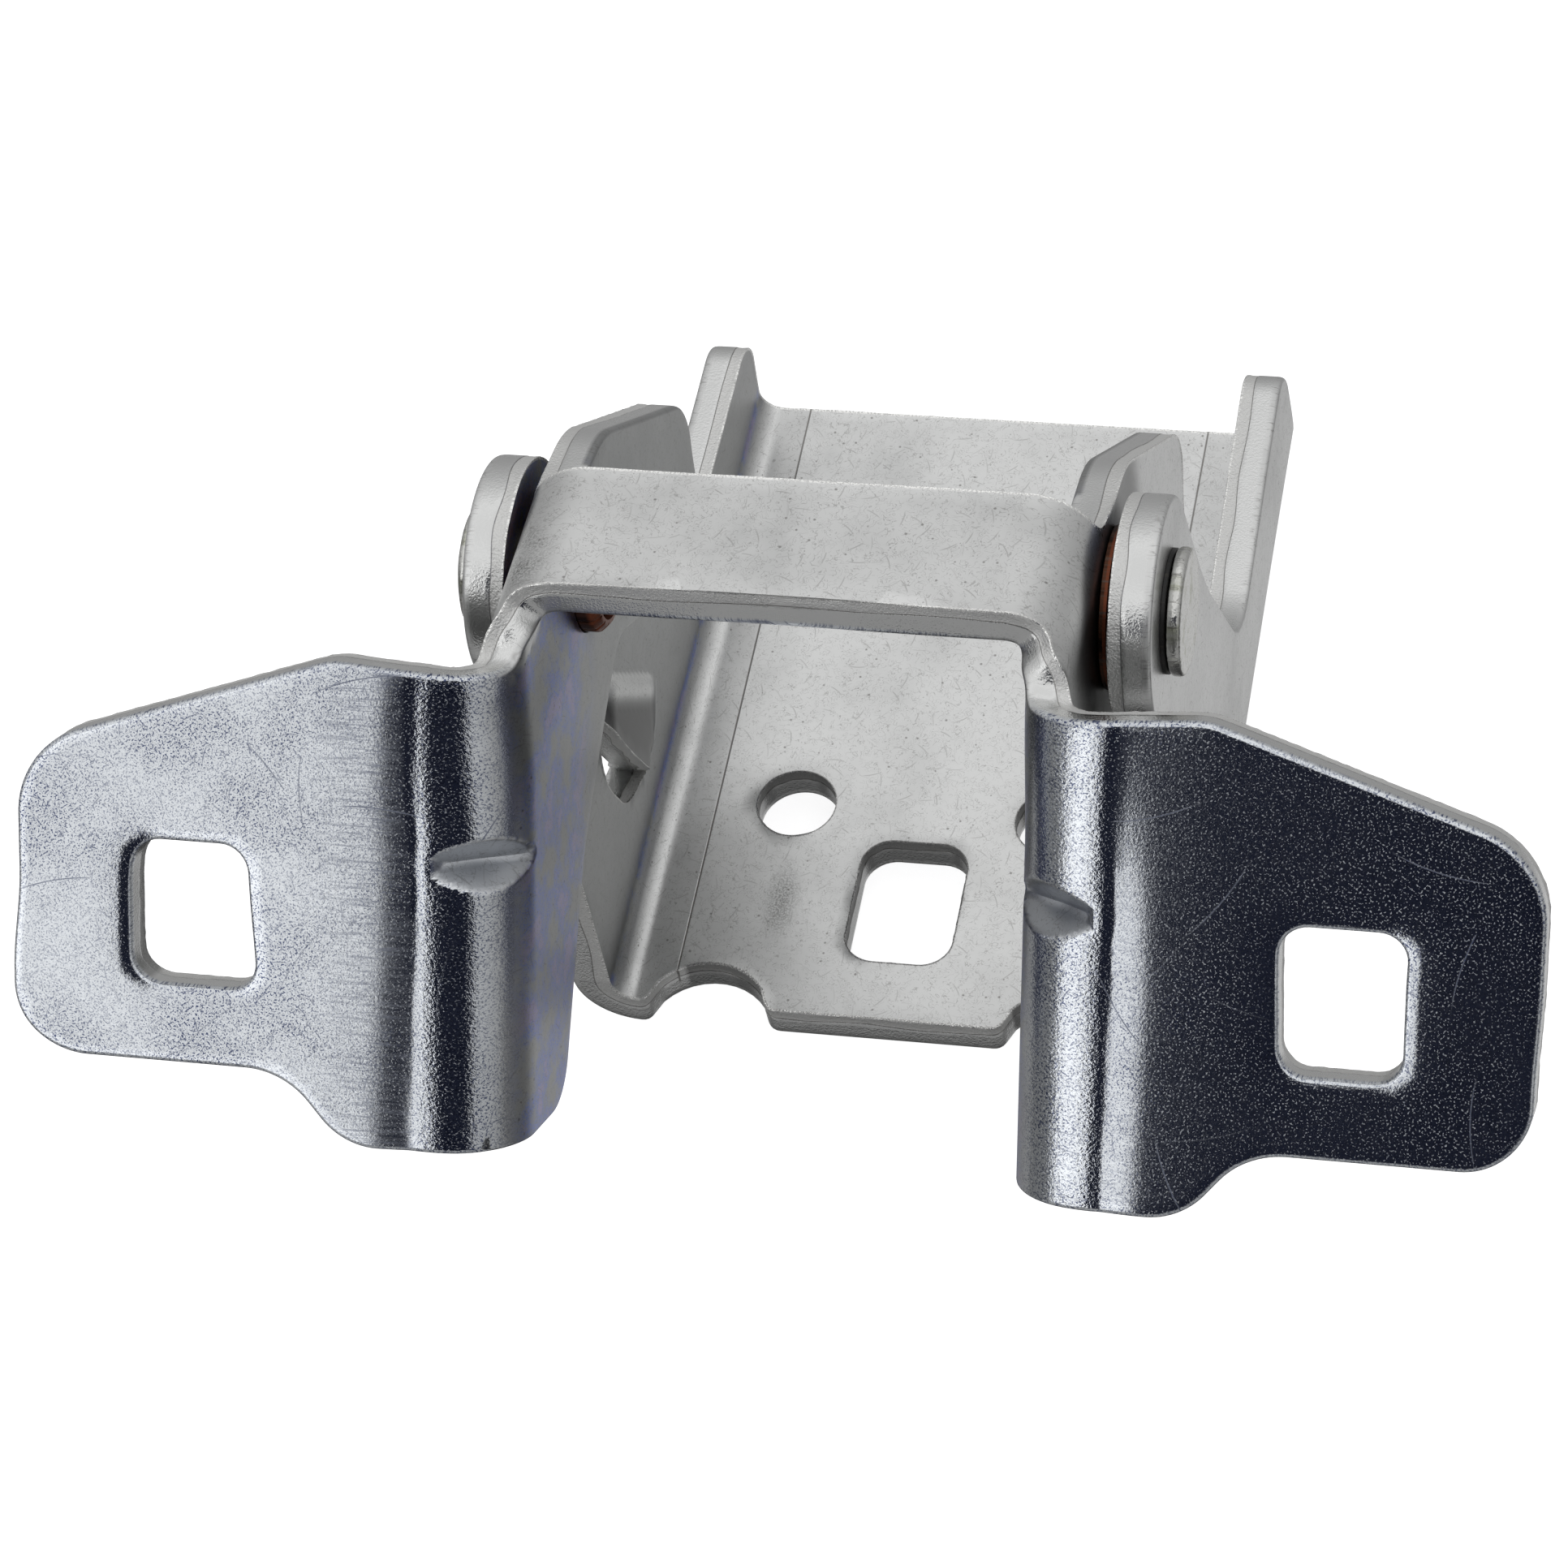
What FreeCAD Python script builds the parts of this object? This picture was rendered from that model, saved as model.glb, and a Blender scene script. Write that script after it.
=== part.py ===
import FreeCAD, Part
import math
import os
from FreeCAD import Vector

os.makedirs("parts", exist_ok=True)

# Truck door hinge. Millimetres, +Z up, X along the hinge axis, Y from front to back.
# Origin of the finished parts: midway between the two round bolt holes, in the mounting face of the
# pillar leaf, which lies flat on that face. Everything is drawn with Y counted from the hinge axis,
# and moved to the origin when it is saved. The door leaf is drawn in its own frame, with the hinge
# axis at 0,0 and its wings upright, and is then turned to the angle that it is shown at.

# Shared sizes
sheet = 4.5                   # gauge of both stamped leaves
axis_height = 69.3            # hinge axis above the mounting face
shown_angle = -39.7           # turn of the door leaf about the hinge axis in the shown pose

# Pins and bushes
pin_radius = 4.75
pin_clearance = 0.05          # running clearance between pin and bush
bush_wall = 1.4
bush_flange_radius = 10.2
bush_flange = 1.0
flange_clearance = 0.1        # each side of the bush flange
bush_proud = 2.3              # bush length past the inside of the cheek
bush_chamfer = 0.7
washer_thick = 0.9
head_radius = 6.8
head_thick = 1.8
head_round = 0.6
serration_count = 20
serration_depth = 0.35

# Door leaf, own frame
inside_width = 52.0           # between the inside faces of the cheeks
wing_reach = 80.0             # half width over the wings
wing_front = -30.4            # outer face of the wings from the axis
bend_outer = 9.5              # outside radius of the wing bends
wing_top = -4.1
wing_bottom = -48.8
bend_bottom = -56.5
wing_outer_top = -15.6        # where the slanted top would meet the outer edge
slant_end = 45.6              # half width at which the slanted top ends
step_upper = 51.0             # half widths of the step in the lower edge
step_lower = 44.5
slot_width = 12.8             # bolt holes in the wings
slot_height = 15.6
slot_round = 3.0
slot_x = 60.3
slot_z = -32.4
strap_angle = 35.5            # slope of the strap against the wing normal
strap_front_y = -22.7         # upper front edge of the strap
strap_front_z = 3.8
strap_width = 16.7
strap_outer = 7.5             # outside radius of the strap bends
lobe_top_y = 7.0
lobe_top_z = 14.1
lobe_back_y = 43.5
lobe_back_z = 10.9
lobe_tip_y = 52.5
lobe_low_z = -9.7
gusset_z = -25.3
gusset_half = 2.35
gusset_depth = 2.8
gusset_rib = 4.2              # apex of the rib behind the chord of the bend

# Pillar leaf
plate_front = -11.7
plate_length = 89.5
wall_bend_inner = 3.0
ear_radius = 12.2
ear_waist = (18.0, 51.0)      # point on the back edge of the ear, in the side view
ear_foot = 35.2               # where that edge would meet the low wall
ear_sweep = 12.0              # radius of its foot
wall_low = 18.9               # wall height behind the ear
wall_far = 19.2               # wall height at the far end
wall_corner = 5.5
square_x = 12.6
square_y = 17.0
square_round = 3.6
square_at = 4.75
round_radius = 4.65
round_x = 15.5
round_at = 17.65
notch_x = 20.8
notch_radius = 7.4
notch_out = 1.6               # centre of the notch in front of the near edge
notch_round = 1.2
lug_low = (14.5, 14.2)        # the two ends of the stop lug's lip, in the side view
lug_high = (5.2, 36.0)
lug_rise = 2.4                # how far the lip stands into the channel
lug_run = 8.5                 # length of its sloping back
lug_window = 6.5              # depth of the pierced window in front of the lip

# Derived sizes
cheek_in = inside_width / 2
cheek_out = cheek_in + sheet
ear_in = cheek_out + bush_flange + 2 * flange_clearance
ear_out = ear_in + sheet
bush_bore = pin_radius + pin_clearance
bush_radius = bush_bore + bush_wall
plate_back = plate_front + plate_length
wing_back = wing_front + sheet
bend_end = wing_front + bend_outer
slope = math.radians(strap_angle)
along = (math.cos(slope), math.sin(slope))
down = (math.sin(slope), -math.cos(slope))


def side(u, v):
    return Vector(0, u, v)


def front(u, v):
    return Vector(u, 0, v)


def flat(u, v):
    return Vector(u, v, 0)


def outline(points, place):
    """Face of a polygon whose corners are (u, v, radius)."""
    edges = []
    count = len(points)
    spans = []
    for i in range(count):
        u, v, radius = points[i]
        before = points[i - 1]
        after = points[(i + 1) % count]
        a = (before[0] - u, before[1] - v)
        b = (after[0] - u, after[1] - v)
        la = math.hypot(a[0], a[1])
        lb = math.hypot(b[0], b[1])
        a = (a[0] / la, a[1] / la)
        b = (b[0] / lb, b[1] / lb)
        if radius <= 0:
            spans.append(((u, v), None, (u, v)))
            continue
        half = math.acos(max(-1.0, min(1.0, a[0] * b[0] + a[1] * b[1]))) / 2
        reach = min(radius / math.tan(half), 0.48 * la, 0.48 * lb)
        radius = reach * math.tan(half)
        way = (a[0] + b[0], a[1] + b[1])
        size = math.hypot(way[0], way[1])
        gap = radius / math.sin(half) - radius
        middle = (u + way[0] / size * gap, v + way[1] / size * gap)
        start = (u + a[0] * reach, v + a[1] * reach)
        end = (u + b[0] * reach, v + b[1] * reach)
        spans.append((start, middle, end))
    for i in range(count):
        start, middle, end = spans[i]
        if middle is not None:
            edges.append(Part.Arc(place(*start), place(*middle), place(*end)).toShape())
        following = spans[(i + 1) % count][0]
        if math.hypot(following[0] - end[0], following[1] - end[1]) > 1e-6:
            edges.append(Part.makeLine(place(*end), place(*following)))
    return Part.Face(Part.Wire(edges))


def rounded_box_face(cu, cv, width, height, radius, place):
    w = width / 2
    h = height / 2
    corners = [(cu - w, cv - h), (cu + w, cv - h), (cu + w, cv + h), (cu - w, cv + h)]
    return outline([(u, v, radius) for u, v in corners], place)


def slab_x(face, x0, x1):
    """A face in the YZ plane pushed from x0 to x1."""
    moved = face.copy()
    moved.translate(Vector(x0, 0, 0))
    return moved.extrude(Vector(x1 - x0, 0, 0))


def slab_y(face, y0, y1):
    moved = face.copy()
    moved.translate(Vector(0, y0, 0))
    return moved.extrude(Vector(0, y1 - y0, 0))


def slab_z(face, z0, z1):
    moved = face.copy()
    moved.translate(Vector(0, 0, z0))
    return moved.extrude(Vector(0, 0, z1 - z0))


def mirrored(shape):
    return shape.mirror(Vector(0, 0, 0), Vector(1, 0, 0))


def save(shape, node):
    """Move a finished piece from the hinge axis to the origin at the bolt holes, and export it."""
    placed = shape.copy()
    placed.translate(Vector(0, -round_at, 0))
    solids = placed.Solids
    if len(solids) != 1 or not placed.isValid():
        raise RuntimeError(node + " is not one valid solid: " + str(len(solids)))
    solids[0].exportStep("parts/" + node + ".step")
    box = solids[0].BoundBox
    print(node, "volume", round(solids[0].Volume, 1), "z", round(box.ZMin, 2), round(box.ZMax, 2))


def strap_point(run, depth):
    """Side-view point at a distance along the strap and below its upper face."""
    y = strap_front_y + run * along[0] + depth * down[0]
    z = strap_front_z + run * along[1] + depth * down[1]
    return (y, z)


def cheek_outline():
    """Side view of one cheek with its lobe, and of the bend in front of it."""
    front_y = wing_front - 1.0
    relief = strap_point(0, strap_outer * 0.48)
    inside_front = strap_point(1.5, strap_outer - 0.1)
    inside_back = strap_point(strap_width - 1.5, strap_outer - 0.1)
    valley = strap_point(strap_width, strap_outer * 0.75)
    points = [
        (front_y, wing_top, 0),
        (relief[0] - 3.6, wing_top, 3.0),
        (relief[0], relief[1], 0),
        (inside_front[0], inside_front[1], 0),
        (inside_back[0], inside_back[1], 0),
        (valley[0], valley[1], 0),
        (valley[0] + 2.0, valley[1] + 0.5, 1.5),
        (lobe_top_y, lobe_top_z, 15.0),
        (lobe_back_y, lobe_back_z, 9.0),
        (lobe_tip_y, lobe_low_z, 5.0),
        (12.3, lobe_low_z, 5.0),
        (-1.2, -30.0, 22.0),
        (-9.0, bend_bottom, 5.0),
        (front_y, bend_bottom, 0),
    ]
    return outline(points, side)


def wing_outline():
    """Front view of the right wing with its bend."""
    points = [
        (cheek_in - 1.0, wing_top + 40.0, 0),
        (cheek_in - 1.0, bend_bottom - 1.0, 0),
        (cheek_out + 2.0, bend_bottom - 1.0, 0),
        (cheek_out + 2.0, bend_bottom, 0),
        (step_lower, bend_bottom, 3.5),
        (step_upper, wing_bottom, 5.0),
        (wing_reach, wing_bottom, 7.5),
        (wing_reach, wing_outer_top, 10.0),
        (slant_end, wing_top, 8.0),
        (cheek_out + 2.0, wing_top, 0),
        (cheek_out + 2.0, wing_top + 40.0, 0),
    ]
    return outline(points, front)


def bent_section():
    """Plan of the right wing, its bend and its cheek."""
    r_out = bend_outer
    r_in = bend_outer - sheet
    cx = cheek_in + r_out
    cy = wing_front + r_out
    turn = math.sqrt(0.5)
    z = bend_bottom - 2.0
    back = lobe_tip_y + 5.0
    reach = wing_reach + 2.0

    def at(x, y):
        return Vector(x, y, z)

    edges = [
        Part.makeLine(at(reach, wing_front), at(cx, wing_front)),
        Part.Arc(at(cx, wing_front), at(cx - r_out * turn, cy - r_out * turn), at(cheek_in, cy)).toShape(),
        Part.makeLine(at(cheek_in, cy), at(cheek_in, back)),
        Part.makeLine(at(cheek_in, back), at(cheek_out, back)),
        Part.makeLine(at(cheek_out, back), at(cheek_out, cy)),
        Part.Arc(at(cheek_out, cy), at(cx - r_in * turn, cy - r_in * turn), at(cx, wing_back)).toShape(),
        Part.makeLine(at(cx, wing_back), at(reach, wing_back)),
        Part.makeLine(at(reach, wing_back), at(reach, wing_front)),
    ]
    height = lobe_top_z - bend_bottom + 6.0
    return Part.Face(Part.Wire(edges)).extrude(Vector(0, 0, height))


def gusset_prism(near, far, half_near, half_far):
    """Wedge across the bend: apex line at one distance behind the chord, base at another."""
    mid_x = cheek_in + bend_outer / 2
    mid_y = wing_front + bend_outer / 2
    turn = math.sqrt(0.5)
    length = 3.0 * bend_outer

    def at(off, height, shift):
        x = mid_x + off * turn - shift * turn
        y = mid_y + off * turn + shift * turn
        return Vector(x, y, gusset_z + height)

    start = -length / 2
    corners = [at(near, -half_near, start), at(near, half_near, start),
               at(far, half_far, start), at(far, -half_far, start)]
    kept = [corners[0]]
    for point in corners[1:]:
        if (point - kept[-1]).Length > 1e-6:
            kept.append(point)
    if (kept[-1] - kept[0]).Length < 1e-6:
        kept.pop()
    face = Part.Face(Part.makePolygon(kept + [kept[0]]))
    return face.extrude(Vector(-length * turn, length * turn, 0))


def strap():
    """U of the strap with its two bends, pushed along its width."""
    r_out = strap_outer
    r_in = strap_outer - sheet
    leg = strap_outer + 1.6
    turn = math.sqrt(0.5)

    def at(x, depth):
        y, z = strap_point(0, depth)
        return Vector(x, y, z)

    cx = cheek_out - r_out
    edges = [
        Part.makeLine(at(-cx, 0), at(cx, 0)),
        Part.Arc(at(cx, 0), at(cx + r_out * turn, r_out - r_out * turn), at(cheek_out, r_out)).toShape(),
        Part.makeLine(at(cheek_out, r_out), at(cheek_out, leg)),
        Part.makeLine(at(cheek_out, leg), at(cheek_in, leg)),
        Part.makeLine(at(cheek_in, leg), at(cheek_in, r_out)),
        Part.Arc(at(cheek_in, r_out), at(cx + r_in * turn, r_out - r_in * turn), at(cx, sheet)).toShape(),
        Part.makeLine(at(cx, sheet), at(-cx, sheet)),
        Part.Arc(at(-cx, sheet), at(-cx - r_in * turn, r_out - r_in * turn), at(-cheek_in, r_out)).toShape(),
        Part.makeLine(at(-cheek_in, r_out), at(-cheek_in, leg)),
        Part.makeLine(at(-cheek_in, leg), at(-cheek_out, leg)),
        Part.makeLine(at(-cheek_out, leg), at(-cheek_out, r_out)),
        Part.Arc(at(-cheek_out, r_out), at(-cx - r_out * turn, r_out - r_out * turn), at(-cx, 0)).toShape(),
    ]
    face = Part.Face(Part.Wire(edges))
    return face.extrude(Vector(0, strap_width * along[0], strap_width * along[1]))


def door_leaf():
    """Both wings, the cheeks with their lobes and the strap, stamped from one sheet."""
    half = bent_section()
    trim_side = slab_x(cheek_outline(), cheek_in - 1.0, cheek_in + bend_outer + 0.5)
    trim_wing = slab_y(wing_outline(), wing_front - 1.0, lobe_tip_y + 6.0)
    beyond = Part.makeBox(60.0, 200.0, 200.0, Vector(cheek_in + bend_outer + 0.5, -100.0, -100.0))
    half = half.common(trim_side.fuse(beyond)).common(trim_wing)
    half = half.cut(gusset_prism(0.0, -gusset_depth * 2, 0.0, gusset_half * 2))
    rib = gusset_prism(0.5, gusset_rib, gusset_half * 1.45, 0.0)
    room = Part.makeBox(30.0, 30.0, 30.0, Vector(cheek_out - 1.0, wing_back - 1.0, gusset_z - 15.0))
    half = half.fuse(rib.common(room))
    slot = rounded_box_face(slot_x, slot_z, slot_width, slot_height, slot_round, front)
    half = half.cut(slab_y(slot, wing_front - 1.0, wing_back + 1.0))
    bore = Part.makeCylinder(bush_radius, sheet + 4.0, Vector(cheek_in - 2.0, 0, 0), Vector(1, 0, 0))
    half = half.cut(bore)
    whole = strap().fuse(half).fuse(mirrored(half))
    return whole.removeSplitter()


def turned(corners):
    """Solid turned about the hinge axis from (x, radius) corners."""
    points = [Vector(x, radius, 0) for x, radius in corners]
    face = Part.Face(Part.makePolygon(points + [points[0]]))
    solid = face.revolve(Vector(0, 0, 0), Vector(1, 0, 0), 360).Solids[0]
    if solid.Volume < 0:
        solid.reverse()
    return solid


def bush():
    """Flanged bush of the right cheek, with a serrated end inside."""
    inner = cheek_in - bush_proud
    flange_in = cheek_out + flange_clearance
    flange_out = flange_in + bush_flange
    r = bush_radius
    c = bush_chamfer

    solid = turned([
        (inner, bush_bore), (inner, r - c), (inner + c, r), (flange_in, r),
        (flange_in, bush_flange_radius), (flange_out, bush_flange_radius), (flange_out, bush_bore),
    ])
    cutters = []
    for i in range(serration_count):
        turn = 2 * math.pi * i / serration_count
        out = Vector(0, math.cos(turn), math.sin(turn))
        across = Vector(0, -math.sin(turn), math.cos(turn))
        tip = out * (r - serration_depth)
        high = out * (r + 0.4)
        spread = across * (0.5 * serration_depth + 0.25)
        start = Vector(inner - 0.5, 0, 0)
        points = [start + tip, start + high + spread, start + high - spread]
        wedge = Part.Face(Part.makePolygon(points + [points[0]]))
        cutters.append(wedge.extrude(Vector(bush_proud + 0.3, 0, 0)))
    return solid.cut(Part.makeCompound(cutters))


def washer():
    """Thin ring between the ear and the pin's head."""
    ring = Part.makeCylinder(head_radius, washer_thick, Vector(ear_out, 0, 0), Vector(1, 0, 0))
    hole = Part.makeCylinder(pin_radius, washer_thick + 2.0, Vector(ear_out - 1.0, 0, 0), Vector(1, 0, 0))
    return ring.cut(hole)


def pin():
    """Short headed pin of the right side."""
    start = cheek_in - bush_proud + 0.6
    seat = ear_out + washer_thick
    face_x = seat + head_thick
    k = 0.6
    q = head_round
    return turned([
        (start, 0), (start, pin_radius - k), (start + k, pin_radius), (seat, pin_radius),
        (seat, head_radius - 0.4), (seat + 0.25, head_radius), (face_x - q, head_radius),
        (face_x - 0.3 * q, head_radius - 0.3 * q), (face_x, head_radius - q), (face_x, 0),
    ])


def channel():
    """Cross-section of the pillar leaf pushed along its length."""
    r_in = wall_bend_inner
    r_out = wall_bend_inner + sheet
    high = axis_height + ear_radius + 2.0
    turn = math.sqrt(0.5)

    def at(x, z):
        return Vector(x, plate_front, z)

    cx = ear_in - r_in
    edges = [
        Part.makeLine(at(-cx, 0), at(cx, 0)),
        Part.Arc(at(cx, 0), at(cx + r_out * turn, r_out - r_out * turn), at(ear_out, r_out)).toShape(),
        Part.makeLine(at(ear_out, r_out), at(ear_out, high)),
        Part.makeLine(at(ear_out, high), at(ear_in, high)),
        Part.makeLine(at(ear_in, high), at(ear_in, r_out)),
        Part.Arc(at(ear_in, r_out), at(cx + r_in * turn, r_out - r_in * turn), at(cx, sheet)).toShape(),
        Part.makeLine(at(cx, sheet), at(-cx, sheet)),
        Part.Arc(at(-cx, sheet), at(-cx - r_in * turn, r_out - r_in * turn), at(-ear_in, r_out)).toShape(),
        Part.makeLine(at(-ear_in, r_out), at(-ear_in, high)),
        Part.makeLine(at(-ear_in, high), at(-ear_out, high)),
        Part.makeLine(at(-ear_out, high), at(-ear_out, r_out)),
        Part.Arc(at(-ear_out, r_out), at(-cx - r_out * turn, r_out - r_out * turn), at(-cx, 0)).toShape(),
    ]
    return Part.Face(Part.Wire(edges)).extrude(Vector(0, plate_length, 0))


def wall_outline():
    """Side view of a wall with its ear."""
    r = ear_radius
    # the back edge leaves the ear's round on the tangent through its waist
    dy = ear_waist[0]
    dz = ear_waist[1] - axis_height
    reach = math.hypot(dy, dz)
    angle = math.atan2(dz, dy) + math.acos(r / reach)
    touch = (r * math.cos(angle), axis_height + r * math.sin(angle))
    edge_front = max(plate_front, -r)
    lift = math.sqrt(max(0.0, r * r - edge_front * edge_front))
    profile = outline([
        (plate_front, -1.0, 0),
        (plate_back, -1.0, 0),
        (plate_back, wall_far, wall_corner),
        (ear_foot, wall_low, ear_sweep),
        (ear_waist[0], ear_waist[1], 60.0),
        (touch[0], touch[1], 0),
        (0, axis_height, 0),
        (edge_front, axis_height - lift, 0),
        (plate_front, axis_height - r * 0.75, 0),
    ], side)
    ear = Part.Face(Part.Wire(Part.makeCircle(r, side(0, axis_height), Vector(1, 0, 0))))
    return slab_x(profile, ear_in - 12.0, ear_out + 1.0).fuse(slab_x(ear, ear_in - 12.0, ear_out + 1.0))


def lug_shapes():
    """Pressed-in stop lug of the right wall: what is added, the dent behind it and its window."""
    y0, z0 = lug_low
    y1, z1 = lug_high
    length = math.hypot(y1 - y0, z1 - z0)
    uy = (y1 - y0) / length
    uz = (z1 - z0) / length
    # across the lip, to the back
    vy = uz
    vz = -uy
    mid_y = (y0 + y1) / 2
    mid_z = (z0 + z1) / 2

    def at(along_lip, across, inward, x):
        return Vector(x - inward, mid_y + along_lip * uy + across * vy, mid_z + along_lip * uz + across * vz)

    def segment(x, across, half):
        """Low arc above the wall's face, in the plane of the lip."""
        arc = Part.Arc(at(-half, across, 0, x), at(0, across, lug_rise, x), at(half, across, 0, x)).toShape()
        drop = sheet * 0.6
        low_a = at(-half, across, -drop, x)
        low_b = at(half, across, -drop, x)
        wire = Part.Wire([arc, Part.makeLine(at(half, across, 0, x), low_b), Part.makeLine(low_b, low_a),
                          Part.makeLine(low_a, at(-half, across, 0, x))])
        return Part.Face(wire)

    push = at(0, lug_run, -lug_rise, 0) - at(0, 0, 0, 0)
    raised = segment(ear_in, 0, length / 2).extrude(push)
    keep = Part.makeBox(lug_rise + 2.6, 400.0, 400.0, Vector(ear_in - lug_rise - 1.0, -200.0, -200.0))
    raised = raised.common(keep)
    arc = Part.Arc(at(-length / 2 + 2, 0, 0, ear_out), at(0, 0, lug_rise, ear_out),
                   at(length / 2 - 2, 0, 0, ear_out)).toShape()
    base = Part.makeLine(at(length / 2 - 2, 0, 0, ear_out), at(-length / 2 + 2, 0, 0, ear_out))
    dent = Part.Face(Part.Wire([arc, base])).extrude(push)
    half = length / 2 - 1.2
    sweep = Part.Arc(at(half, 0, 0, ear_in), at(1.5, -lug_window, 0, ear_in), at(-half, 0, 0, ear_in)).toShape()
    chord = Part.makeLine(at(-half, 0, 0, ear_in), at(half, 0, 0, ear_in))
    window = Part.Face(Part.Wire([sweep, chord]))
    window.translate(Vector(-1.0, 0, 0))
    window = window.extrude(Vector(sheet + 2.0, 0, 0))
    return raised, dent, window


def pillar_leaf():
    """Plate, walls and ears, folded from one sheet."""
    body = channel()
    trim = wall_outline()
    middle = Part.makeBox(2 * (ear_in - 10.0), plate_length, 2 * sheet,
                          Vector(-(ear_in - 10.0), plate_front, -sheet))
    body = body.common(trim.fuse(mirrored(trim)).fuse(middle))
    square = rounded_box_face(0, square_at, square_x, square_y, square_round, flat)
    cuts = [slab_z(square, -1.0, sheet + 1.0)]
    raised, dent, window = lug_shapes()
    for sign in (-1, 1):
        cuts.append(Part.makeCylinder(round_radius, sheet + 2.0, Vector(sign * round_x, round_at, -1.0)))
        scoop = Part.makeCylinder(notch_radius, sheet + 2.0,
                                  Vector(sign * notch_x, plate_front - notch_out, -1.0))
        cuts.append(scoop)
        start = Vector(sign * (ear_in - 2.0), 0, axis_height)
        cuts.append(Part.makeCylinder(pin_radius, sheet + 4.0, start, Vector(sign, 0, 0)))
    body = body.fuse(raised).fuse(mirrored(raised))
    cuts += [dent, mirrored(dent), window, mirrored(window)]
    for cut in cuts:
        body = body.cut(cut)
    body = body.removeSplitter()
    corners = []
    half = math.sqrt(notch_radius ** 2 - notch_out ** 2)
    for edge in body.Edges:
        if len(edge.Vertexes) != 2:
            continue
        a, b = [v.Point for v in edge.Vertexes]
        upright = abs(a.x - b.x) < 1e-4 and abs(a.y - b.y) < 1e-4 and abs(a.z - b.z) > sheet - 0.01
        near = abs(a.y - plate_front) < 1e-3
        at_notch = any(abs(abs(a.x) - (notch_x + s * half)) < 0.05 for s in (-1, 1))
        if upright and near and at_notch and max(a.z, b.z) < sheet + 0.01:
            corners.append(edge)
    if corners:
        body = body.makeFillet(notch_round, corners)
    return body


def shown(shape):
    """Door leaf frame to the shown pose."""
    moved = shape.copy()
    moved.rotate(Vector(0, 0, 0), Vector(1, 0, 0), shown_angle)
    moved.translate(Vector(0, 0, axis_height))
    return moved


def raised_to_axis(shape):
    moved = shape.copy()
    moved.translate(Vector(0, 0, axis_height))
    return moved


save(pillar_leaf(), "pillar_leaf")
save(shown(door_leaf()), "door_leaf")
save(shown(bush()), "bush_right")
save(shown(mirrored(bush())), "bush_left")
save(raised_to_axis(pin()), "pin_right")
save(raised_to_axis(mirrored(pin())), "pin_left")
save(raised_to_axis(washer()), "washer_right")
save(raised_to_axis(mirrored(washer())), "washer_left")
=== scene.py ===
import math
from types import SimpleNamespace

import bpy
import numpy as np
from mathutils import Matrix, Vector
from mathutils.geometry import delaunay_2d_cdt


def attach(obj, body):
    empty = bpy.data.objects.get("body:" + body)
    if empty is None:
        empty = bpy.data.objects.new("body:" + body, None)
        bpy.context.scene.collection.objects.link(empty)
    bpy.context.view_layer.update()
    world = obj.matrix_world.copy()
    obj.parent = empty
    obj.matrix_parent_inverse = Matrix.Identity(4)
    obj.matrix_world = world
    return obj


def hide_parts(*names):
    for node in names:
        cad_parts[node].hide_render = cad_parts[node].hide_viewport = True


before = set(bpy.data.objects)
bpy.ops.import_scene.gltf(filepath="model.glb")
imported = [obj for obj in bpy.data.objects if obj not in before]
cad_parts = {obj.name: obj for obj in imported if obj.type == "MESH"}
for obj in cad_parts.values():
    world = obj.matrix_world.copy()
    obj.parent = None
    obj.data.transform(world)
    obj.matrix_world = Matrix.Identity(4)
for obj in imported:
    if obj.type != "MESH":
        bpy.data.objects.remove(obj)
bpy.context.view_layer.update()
print("frame loaded")

# Shared measures, in millimetres. The hinge axis runs along X.
hinge = {
    "sheet": 4.5,
    "axisHeight": 69.3,
    "axisBehind": 17.65,       # the origin lies this far behind the hinge axis
    "shownAngle": -39.7,       # turn of the door leaf at rest, in degrees
}
halfSheet = hinge["sheet"] / 2
quarterTurn = math.pi / 2
mirrored = np.array([-1.0, 1.0])


def toFrame(points):
    # millimetres counted from the hinge axis, to metres in the part's frame
    moved = np.array(points, dtype=float)
    moved[:, 1] -= hinge["axisBehind"]
    return moved / 1000.0


def unit(vector):
    return vector / max(np.linalg.norm(vector), 1e-12)


def straight(value, low, high):
    # 0 at low, 1 at high, in a straight line between; low may be the larger one
    return np.clip((value - low) / (high - low), 0, 1)


def smooth(value, low, high):
    # the same, soft at both ends
    share = straight(value, low, high)
    return share * share * (3 - 2 * share)


def hump(value, middle, width):
    return np.exp(-((value - middle) / width) ** 2)


def newPiece(name, points, faces, sharpAngle):
    # an object from points in millimetres, smooth but for its sharp edges
    mesh = bpy.data.meshes.new(name)
    mesh.from_pydata([tuple(v) for v in toFrame(points)], [], faces)
    mesh.validate()
    mesh.polygons.foreach_set("use_smooth", [True] * len(mesh.polygons))
    mesh.set_sharp_from_angle(angle=math.radians(sharpAngle))
    mesh.update()
    piece = bpy.data.objects.new(name, mesh)
    bpy.context.collection.objects.link(piece)
    return piece


# Outlines

def arcPoints(centre, radius, startDeg, endDeg, count):
    # corners with no rounding that follow an arc
    angles = np.radians(np.linspace(startDeg, endDeg, count))
    return [(centre[0] + radius * math.cos(a), centre[1] + radius * math.sin(a), 0.0) for a in angles]


def circleLoop(centre, radius, count):
    angles = np.linspace(0, 2 * math.pi, count, endpoint=False)
    return np.array(centre) + radius * np.stack([np.cos(angles), np.sin(angles)], axis=1)


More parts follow.
